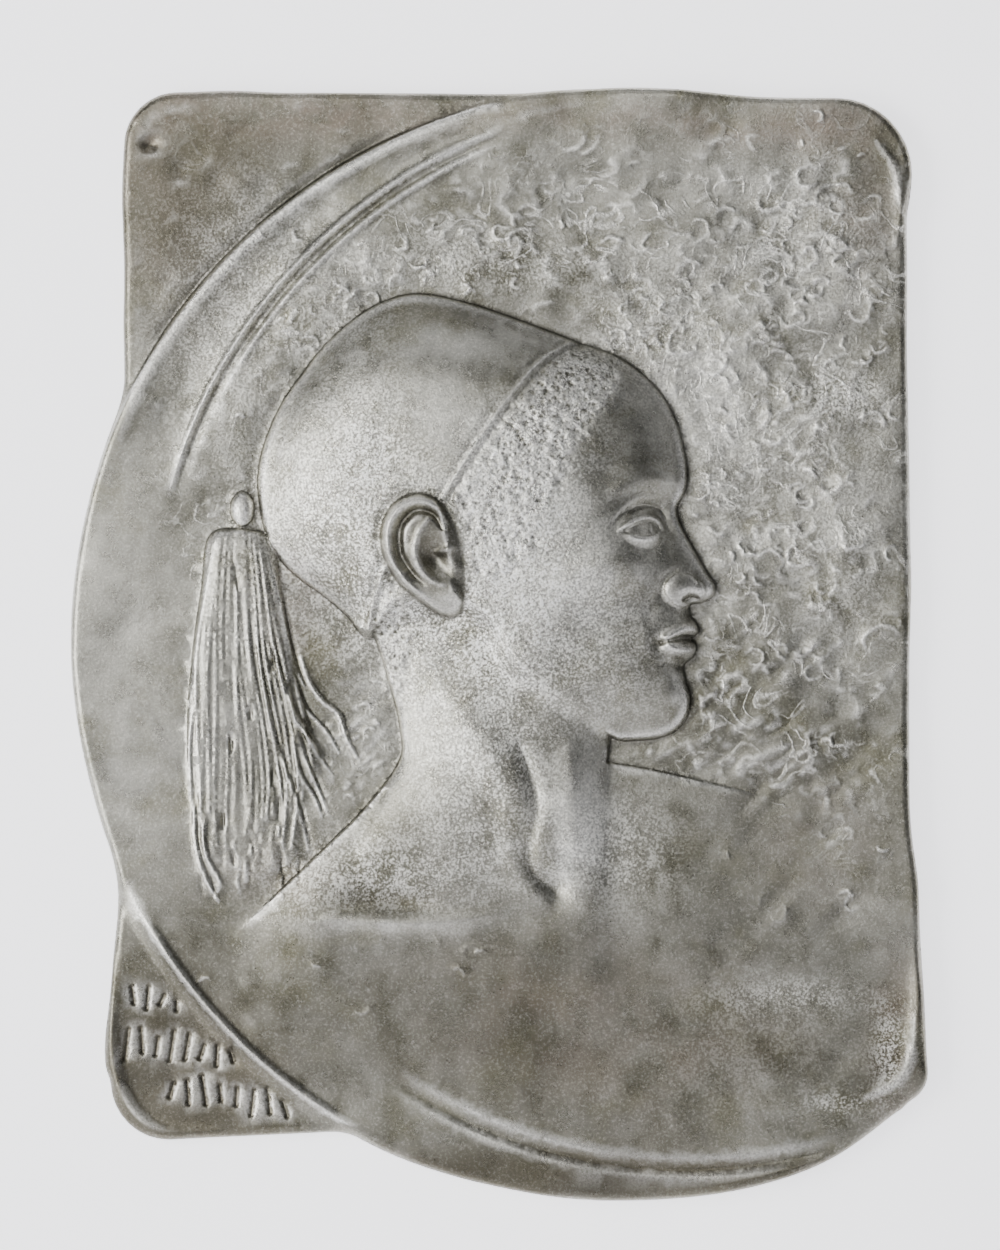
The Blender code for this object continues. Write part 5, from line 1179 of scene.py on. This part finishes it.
def inset(angles, reach, width, softness=1):
    """A loop inside the outline by this width, softened so that it never doubles back."""
    long_angles = np.concatenate((angles[-8:] - 2 * math.pi, angles, angles[:8] + 2 * math.pi))
    long_reach = np.concatenate((reach[-8:], reach, reach[:8]))
    lean = np.cos(np.arctan(np.gradient(long_reach, long_angles) / long_reach))[8:-8]
    inner = reach - width / lean
    for _ in range(softness):
        inner = (np.roll(inner, 1) + 2 * inner + np.roll(inner, -1)) / 4
    return inner


def hollow_field(front):
    """Depth of the hollow behind the relief, at least a wall away from the front."""
    reach = max(int(round((WALL + 0.7 * HOLLOW_SOFTNESS) / front.step)), 1)
    low = front.h.copy()
    for axis in (0, 1):
        shifted = [np.roll(low, shift, axis=axis) for shift in range(-reach, reach + 1)]
        low = np.minimum.reduce(shifted)
    hollow = Field(front.xs, front.zs, front.step)
    hollow.h = blur(low, HOLLOW_SOFTNESS / front.step) - WALL
    return hollow


def seed_places(angles, reach, margin, spacing):
    """Loose starting places over the plaque, away from its edge."""
    loop = polar_place(angles, reach - margin)
    low, high = loop.min(axis=0), loop.max(axis=0)
    across, up = np.meshgrid(np.arange(low[0], high[0], spacing), np.arange(low[1], high[1], spacing))
    rng = np.random.default_rng(RANDOM_SEED + 3)
    across = across + rng.uniform(-0.3, 0.3, across.shape) * spacing
    up = up + rng.uniform(-0.3, 0.3, up.shape) * spacing
    keep = inside(across, up, loop)
    return np.column_stack((across[keep], up[keep]))


def figure_weight(x, z):
    """The head counts most when facets are shared out."""
    face = np.exp(-((x - spot(-0.10, 0)[0]) / 0.045) ** 2 - ((z - spot(0, 0.36)[1]) / 0.065) ** 2)
    ear_near = np.exp(-((x - spot(-0.60, 0)[0]) / 0.022) ** 2 - ((z - spot(0, 0.45)[1]) / 0.030) ** 2)
    return 1.0 + 1.5 * face + 1.0 * ear_near


def loop_verts(verts, origin, count):
    """Finds the border's vertices again after triangulation."""
    found = [None] * count
    for vert, sources in zip(verts, origin):
        for source in sources:
            if source < count:
                found[source] = vert
    return found


# Where the rows of strokes stand.
INSCRIBED = ((-0.147, -0.424, 0.044, 0.040, 1.6),)


def wear_maps(front, edge, x, z):
    """Values from 0 to 1 at the front's vertices: crests made pale by wear and by painted highlight, hollows
    made dark by patina and by painted shade, and where each look lies.
    """
    wide = Field(front.xs, front.zs, front.step)
    wide.h = front.h - blur(front.h, 0.0032 / front.step)
    near = Field(front.xs, front.zs, front.step)
    near.h = front.h - blur(front.h, 0.0012 / front.step)
    rim = Field(front.xs, front.zs, front.step)
    rim.h = smooth(edge, 0.003, 0.008)
    clear = rim.at(x, z)
    bulge = (wide.at(x, z) / 0.0011 + near.at(x, z) / 0.00030) * clear
    hair = np.zeros(x.shape)
    for area in (HAIR, NAPE_HAIR):
        hair = np.maximum(hair, smooth(depth_inside(x, z, spline(figure(area), closed=True, steps=3)),
                                       -0.004, 0.008))
    coarse = Field(front.xs[::4], front.zs[::4], 4 * front.step)
    coarse.h = off_figure(coarse)
    ground = coarse.at(x, z)
    words = spots_share(x, z, INSCRIBED)
    ear_near = smooth(depth_inside(x, z, spline(figure(EAR), closed=True, steps=3)), -0.002, 0.001)
    strands = smooth(depth_inside(x, z, spline(figure(TASSEL), closed=True, steps=3)), -0.002, 0.004)
    return {
        # Crest map: ridges and edges painted pale, partly as worn metal and partly as painted highlight
        # standing in for the light the ridges catch.
        "crest": smooth(bulge, 0.10, 0.90) * ground + 0.7 * smooth(bulge, 0.4, 2.4) * (1 - ground),
        # Hollow map: hollows, creases and the foot of the figure's outline painted dark, partly as patina and
        # partly as painted shade; the rows of strokes are darkened too.
        "hollow": np.maximum(smooth(-bulge, 1.2, 6.5) * (0.70 - 0.25 * strands),
                             smooth(-bulge, 0.5, 2.6) * words),
        "net": spots_share(x, z, NETTED) * ground,
        "dab": spots_share(x, z, DABBED) * ground,
        "frost": spots_share(x, z, FROSTED) * (1 - 0.85 * ear_near),
        "pale_and_highlight": spots_share(x, z, PALE_AND_HIGHLIGHT_SPOTS) * (1 - 0.7 * ear_near),
        "stain": spots_share(x, z, STAINED),
        "grime_and_shade": spots_share(x, z, GRIME_AND_SHADE_SPOTS),
        "hair": hair,
    }


def plaque_mesh():
    """Front, turned edge, back rim and hollow as one closed mesh."""
    front, edge = fine_relief(CARVING_STEP)
    front.h = turn_edges(front.h, edge)
    coarse, coarse_edge = relief(2 * CARVING_STEP)
    coarse.h = turn_edges(coarse.h, coarse_edge)
    hollow = hollow_field(coarse)
    angles, reach = outline_loop(OUTLINE_POINTS)
    outline = polar_place(angles, reach)
    rolls = []
    for share, softness in ((0.10, 0), (0.32, 0), (0.65, 1), (1.15, 3)):
        roll = polar_place(angles, inset(angles, reach, share * ROLL_RADIUS, softness))
        rolls.append(np.vstack((roll, roll[:1])))
    seeds = seed_places(angles, reach, 0.010, SEED_SPACING)
    places, faces, origin = refine(front, outline, seeds, rolls, figure_weight, FRONT_FACES)
    pad = PAD_WIDTH * np.exp(-((outline[:, 0]) / PAD_REACH) ** 2) * (outline[:, 1] > -0.1)
    rim = inset(angles, reach, RIM_WIDTH + pad, 6)
    floor = rim - DRAFT
    floor_seeds = seed_places(angles, floor, 0.006, 3 * SEED_SPACING)
    floor_loop = polar_place(angles, floor)
    floor_places, floor_faces, floor_origin = refine(hollow, floor_loop, floor_seeds, [], lambda x, z: 1.0,
                                                     HOLLOW_FACES)
    count = OUTLINE_POINTS
    heights = front.at(places[:, 0], places[:, 1])
    depths = hollow.at(floor_places[:, 0], floor_places[:, 1])
    rim_places = polar_place(angles, rim)
    coords = np.vstack((
        np.column_stack((places[:, 0], -heights, places[:, 1])),
        np.column_stack((floor_places[:, 0], -depths, floor_places[:, 1])),
        np.column_stack((outline[:, 0], np.zeros(count), outline[:, 1])),
        np.column_stack((rim_places[:, 0], np.zeros(count), rim_places[:, 1])),
    ))
    coords[:, 1] *= min(1.0, cad_box[0][1] / coords[:, 1].min())
    coords = np.clip(coords, np.array(cad_box[0]), np.array(cad_box[1]))
    first_floor = len(places)
    first_wall = first_floor + len(floor_places)
    first_rim = first_wall + count
    front_loop = loop_verts(range(len(places)), origin, count)
    floor_edge = loop_verts(range(first_floor, first_wall), floor_origin, count)
    polygons = [tuple(face) for face in faces.tolist()]
    polygons += [tuple(first_floor + v for v in face[::-1]) for face in floor_faces.tolist()]
    for i in range(count):
        j = (i + 1) % count
        polygons.append((front_loop[i], first_wall + i, first_wall + j, front_loop[j]))
        polygons.append((first_wall + i, first_rim + i, first_rim + j, first_wall + j))
        polygons.append((first_rim + i, floor_edge[i], floor_edge[j], first_rim + j))
    mesh = bpy.data.meshes.new("plaque_relief")
    mesh.from_pydata(coords.tolist(), [], polygons)
    body = bmesh.new()
    body.from_mesh(mesh)
    bmesh.ops.recalc_face_normals(body, faces=body.faces)
    body.to_mesh(mesh)
    body.free()
    for name, looks in wear_maps(front, edge, places[:, 0], places[:, 1]).items():
        values = np.zeros(len(coords), np.float32)
        values[:first_floor] = looks
        mesh.attributes.new(name, "FLOAT", "POINT").data.foreach_set("value", values)
    for face in mesh.polygons:
        face.use_smooth = True
    return mesh


class Nodes:
    """Short calls for building a material's node tree."""

    def __init__(self, material):
        material.use_nodes = True
        self.tree = material.node_tree
        self.shader = self.tree.nodes["Principled BSDF"]

    def add(self, kind, inputs=None, **settings):
        node = self.tree.nodes.new(kind)
        for name, value in settings.items():
            setattr(node, name, value)
        for name, value in (inputs or {}).items():
            self.put(value, node.inputs[name])
        return node

    def put(self, value, socket):
        if isinstance(value, bpy.types.NodeSocket):
            self.tree.links.new(value, socket)
        else:
            socket.default_value = value

    def noise(self, place, scale, detail=4.0, roughness=0.55, distortion=0.0):
        node = self.add("ShaderNodeTexNoise", {"Vector": place, "Scale": scale, "Detail": detail,
                                               "Roughness": roughness, "Distortion": distortion})
        return node.outputs["Fac"]

    def spread(self, value, low, high, new_low=0.0, new_high=1.0):
        node = self.add("ShaderNodeMapRange", {"Value": value, "From Min": low, "From Max": high,
                                               "To Min": new_low, "To Max": new_high})
        return node.outputs["Result"]

    def sum(self, first, second, kind="ADD"):
        node = self.add("ShaderNodeMath", operation=kind)
        self.put(first, node.inputs[0])
        self.put(second, node.inputs[1])
        return node.outputs[0]

    def times(self, first, second):
        return self.sum(first, second, "MULTIPLY")

    def most(self, first, second):
        return self.sum(first, second, "MAXIMUM")

    def blend(self, factor, first, second):
        node = self.add("ShaderNodeMix", data_type="RGBA")
        self.put(factor, node.inputs["Factor"])
        self.put(first, node.inputs[6])
        self.put(second, node.inputs[7])
        return node.outputs[2]


def worn_pewter():
    """Cast metal: grey ground, crests made pale by wear and by painted highlight, pale specks, broad patches
    of paler metal and painted highlight, hollows made dark by patina and by painted shade, darker ground from
    dirt and painted shade, warm stains, fine grain.
    """
    material = bpy.data.materials.new("Worn pewter")
    nodes = Nodes(material)
    place = nodes.add("ShaderNodeTexCoord").outputs["Object"]
    looks = {name: nodes.add("ShaderNodeAttribute", attribute_name=name).outputs["Fac"]
             for name in ("crest", "hollow", "net", "dab", "frost", "pale_and_highlight", "stain", "grime_and_shade", "hair")}
    grain = nodes.noise(place, 1300, 3, 0.6)
    fleck = nodes.noise(place, 860, 4, 0.68, 0.3)
    patch = nodes.noise(place, 95, 4, 0.6)
    cloud = nodes.noise(place, 24, 4, 0.6)
    wrinkle = nodes.noise(place, 120, 3, 0.55, 0.6)
    line = nodes.sum(nodes.sum(wrinkle, 0.5, "SUBTRACT"), 0.0, "ABSOLUTE")
    line = nodes.spread(line, 0.0, 0.055, 1.0, 0.0)
    broken = nodes.spread(nodes.noise(place, 70, 3, 0.6), 0.46, 0.60)
    net = nodes.times(nodes.times(line, broken), looks["net"])
    bend = nodes.noise(place, 52, 2, 0.5, 1.4)
    vein = nodes.spread(nodes.sum(nodes.sum(bend, 0.5, "SUBTRACT"), 0.0, "ABSOLUTE"), 0.006, 0.046, 1.0, 0.0)
    vein = nodes.times(vein, nodes.spread(nodes.noise(place, 64, 3, 0.6), 0.45, 0.58))
    net = nodes.most(net, nodes.times(vein, looks["dab"]))
    net = nodes.times(net, nodes.spread(fleck, 0.36, 0.58, 0.35, 1.0))
    curl = nodes.add("ShaderNodeTexVoronoi", {"Vector": place, "Scale": 340.0, "Randomness": 1.0})
    ring = nodes.times(nodes.spread(curl.outputs["Distance"], 0.2, 0.55), looks["hair"])
    ring = nodes.times(ring, 0.75)
    pit = nodes.times(nodes.spread(curl.outputs["Distance"], 0.08, 0.34, 0.6, 0.0), looks["hair"])
    speck = nodes.spread(nodes.sum(fleck, nodes.spread(patch, 0.3, 0.7, -0.10, 0.10)), 0.49, 0.59)
    frost = nodes.times(speck, looks["frost"])
    thin = nodes.times(nodes.spread(fleck, 0.52, 0.74), 0.30)
    # Pale crests: worn metal and painted highlight on ridges and edges.
    crest_wear_and_highlight = nodes.times(looks["crest"], nodes.spread(fleck, 0.30, 0.58, 0.45, 1.0))
    pale = nodes.most(nodes.most(crest_wear_and_highlight, net), nodes.most(frost, thin))
    pale = nodes.times(nodes.most(pale, ring), nodes.spread(looks["grime_and_shade"], 0, 1, 0.85, 0.45))
    swirl = nodes.noise(place, 50, 3, 0.5, 0.8)
    tone = nodes.sum(nodes.spread(cloud, 0.3, 0.7, -0.20, 0.20), nodes.spread(swirl, 0.3, 0.7, -0.16, 0.16))
    tone = nodes.sum(tone, nodes.spread(patch, 0.3, 0.7, -0.08, 0.08))
    ground = nodes.blend(nodes.spread(tone, -0.26, 0.26), (0.135, 0.130, 0.099, 1), (0.368, 0.360, 0.316, 1))
    # Broad paler patches: paler metal in places, and painted highlight where the forms face the light.
    pale_and_highlight = nodes.times(looks["pale_and_highlight"], nodes.spread(patch, 0.3, 0.7, 0.55, 1.0))
    ground = nodes.blend(pale_and_highlight, ground, (0.69, 0.68, 0.63, 1))
    stained = nodes.times(looks["stain"], nodes.spread(nodes.noise(place, 48, 5, 0.65), 0.36, 0.62))
    ground = nodes.blend(nodes.times(stained, 0.75), ground, (0.250, 0.190, 0.145, 1))
    green = nodes.spread(nodes.noise(place, 33, 4, 0.6), 0.52, 0.68)
    ground = nodes.blend(nodes.times(green, 0.50), ground, (0.225, 0.213, 0.140, 1))
    # Darkens the ground: dirt in corners and along the edges, and painted shade at the top of the forehead
    # and the cap, in the ear and in grooves.
    ground = nodes.blend(nodes.times(looks["grime_and_shade"], 0.80), ground, (0.105, 0.095, 0.070, 1))
    ground = nodes.blend(pale, ground, (0.90, 0.89, 0.845, 1))
    # Darkens hollows and creases towards near black: patina and painted shade along the outlines, in creases
    # and in the strokes.
    dark = nodes.times(looks["hollow"], nodes.spread(grain, 0.3, 0.7, 0.75, 1.0))
    dark = nodes.most(nodes.times(dark, nodes.spread(looks["hair"], 0.0, 1.0, 1.0, 0.5)), pit)
    colour = nodes.blend(nodes.times(dark, 0.75), ground, (0.060, 0.054, 0.042, 1))
    busy = nodes.times(nodes.most(looks["frost"], looks["hair"]), 0.60)
    mottle = nodes.times(nodes.spread(fleck, 0.36, 0.64, -1.0, 1.0), nodes.sum(busy, 0.12))
    mottle = nodes.sum(mottle, 1.0)
    contrast = nodes.add("ShaderNodeVectorMath", {"Vector": colour, "Scale": mottle}, operation="SCALE")
    nodes.put(contrast.outputs["Vector"], nodes.shader.inputs["Base Color"])
    nodes.put(1.0, nodes.shader.inputs["Metallic"])
    nodes.put(nodes.spread(patch, 0.3, 0.7, 0.24, 0.35), nodes.shader.inputs["Roughness"])
    height = nodes.sum(nodes.times(grain, 0.16), nodes.times(fleck, nodes.sum(busy, 0.22)))
    height = nodes.sum(height, nodes.sum(nodes.times(net, 0.35), nodes.times(ring, 0.6)))
    bump = nodes.add("ShaderNodeBump", {"Height": height, "Strength": 0.9, "Distance": 0.0007})
    nodes.put(bump.outputs["Normal"], nodes.shader.inputs["Normal"])
    return material


def plain(name, colour, roughness, glow=0.0):
    material = bpy.data.materials.new(name)
    material.use_nodes = True
    shader = material.node_tree.nodes["Principled BSDF"]
    shader.inputs["Base Color"].default_value = colour
    shader.inputs["Roughness"].default_value = roughness
    shader.inputs["Emission Color"].default_value = colour
    shader.inputs["Emission Strength"].default_value = glow
    return material


def link(item):
    bpy.context.scene.collection.objects.link(item)
    return item


def make_plaque():
    piece = link(bpy.data.objects.new("plaque_relief", plaque_mesh()))
    piece.data.materials.append(worn_pewter())
    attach(piece, "root")
    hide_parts("plaque")


def sheet_mesh(name, corners):
    mesh = bpy.data.meshes.new(name)
    mesh.from_pydata(corners, [], [(0, 1, 2, 3)])
    return mesh


def wall_mesh():
    """A wide wall, open behind the plaque's hollow so that it throws no light into it."""
    angles, reach = outline_loop(OUTLINE_POINTS)
    near = polar_place(angles, reach - 0.6 * RIM_WIDTH)
    far = polar_place(angles, np.full(OUTLINE_POINTS, WALL_REACH))
    far[:, 1] = np.maximum(far[:, 1], FLOOR_HEIGHT)
    corners = [(x, WALL_GAP, z) for x, z in np.vstack((near, far)).tolist()]
    following = [(i, (i + 1) % OUTLINE_POINTS) for i in range(OUTLINE_POINTS)]
    mesh = bpy.data.meshes.new("stage_wall")
    mesh.from_pydata(corners, [], [(i, OUTLINE_POINTS + i, OUTLINE_POINTS + j, j) for i, j in following])
    return mesh


def make_stage():
    """The pale wall that the plaque hangs on, seen from the front only, and a pale floor below."""
    wall = link(bpy.data.objects.new("stage_wall", wall_mesh()))
    paint = plain("Pale wall", (0.82, 0.82, 0.85, 1), 0.9, 2.1)
    nodes = Nodes(paint)
    back = nodes.add("ShaderNodeNewGeometry").outputs["Backfacing"]
    clear = nodes.add("ShaderNodeBsdfTransparent").outputs[0]
    mix = nodes.add("ShaderNodeMixShader")
    nodes.put(back, mix.inputs[0])
    nodes.put(nodes.shader.outputs[0], mix.inputs[1])
    nodes.put(clear, mix.inputs[2])
    nodes.put(mix.outputs[0], nodes.tree.nodes["Material Output"].inputs["Surface"])
    wall.data.materials.append(paint)
    floor = link(bpy.data.objects.new("stage_floor", sheet_mesh("stage_floor", [
        (across * FLOOR_REACH, deep * FLOOR_REACH, FLOOR_HEIGHT)
        for across, deep in ((-1, -1), (1, -1), (1, 1), (-1, 1))])))
    floor.data.materials.append(plain("Pale floor", (0.80, 0.80, 0.82, 1), 0.9))


def area_light(name, place, target, size, power, colour=(1.0, 1.0, 1.0)):
    lamp = bpy.data.lights.new(name, "AREA")
    lamp.shape = "RECTANGLE"
    lamp.size, lamp.size_y = size
    lamp.energy = power
    lamp.color = colour
    item = link(bpy.data.objects.new(name, lamp))
    item.location = place
    item.rotation_euler = (Vector(target) - Vector(place)).to_track_quat("-Z", "Y").to_euler()


def make_light():
    """Soft boxes to the left, near the camera, low right, above and behind, and a dim room."""
    middle = (0.0, 0.0, -0.25)
    area_light("key_left", (-1.75, -1.5, -0.15), middle, (1.2, 1.6), 51, WARM)
    area_light("front", (-0.45, -3.2, 0.60), middle, (1.8, 1.8), 22, WARM)
    area_light("low_right", (1.3, -0.5, -1.3), middle, (0.8, 0.8), 5)
    area_light("above", (-0.2, -0.9, 1.3), middle, (1.4, 0.5), 3)
    area_light("behind", (1.3, 1.5, 0.4), middle, (1.0, 1.0), 18)
    world = bpy.data.worlds.new("Studio")
    bpy.context.scene.world = world
    world.use_nodes = True
    background = world.node_tree.nodes["Background"]
    background.inputs["Color"].default_value = (0.93, 0.94, 0.97, 1)
    background.inputs["Strength"].default_value = 0.21


def make_camera():
    """Straight on, so that one pixel of the photograph is PIXEL wide at the plaque."""
    camera = bpy.data.cameras.new("camera")
    camera.sensor_fit = "VERTICAL"
    camera.sensor_height = SENSOR_HEIGHT
    camera.lens = SENSOR_HEIGHT * CAMERA_DISTANCE / (FRAME_HEIGHT * PIXEL)
    item = link(bpy.data.objects.new("camera", camera))
    x = (FRAME_WIDTH / 2 - HANG_PIXEL[0]) * PIXEL
    z = (HANG_PIXEL[1] - FRAME_HEIGHT / 2) * PIXEL
    item.location = (x, -CAMERA_DISTANCE, z)
    item.rotation_euler = (math.pi / 2, 0, 0)
    bpy.context.scene.camera = item


make_plaque()
make_stage()
make_light()
make_camera()
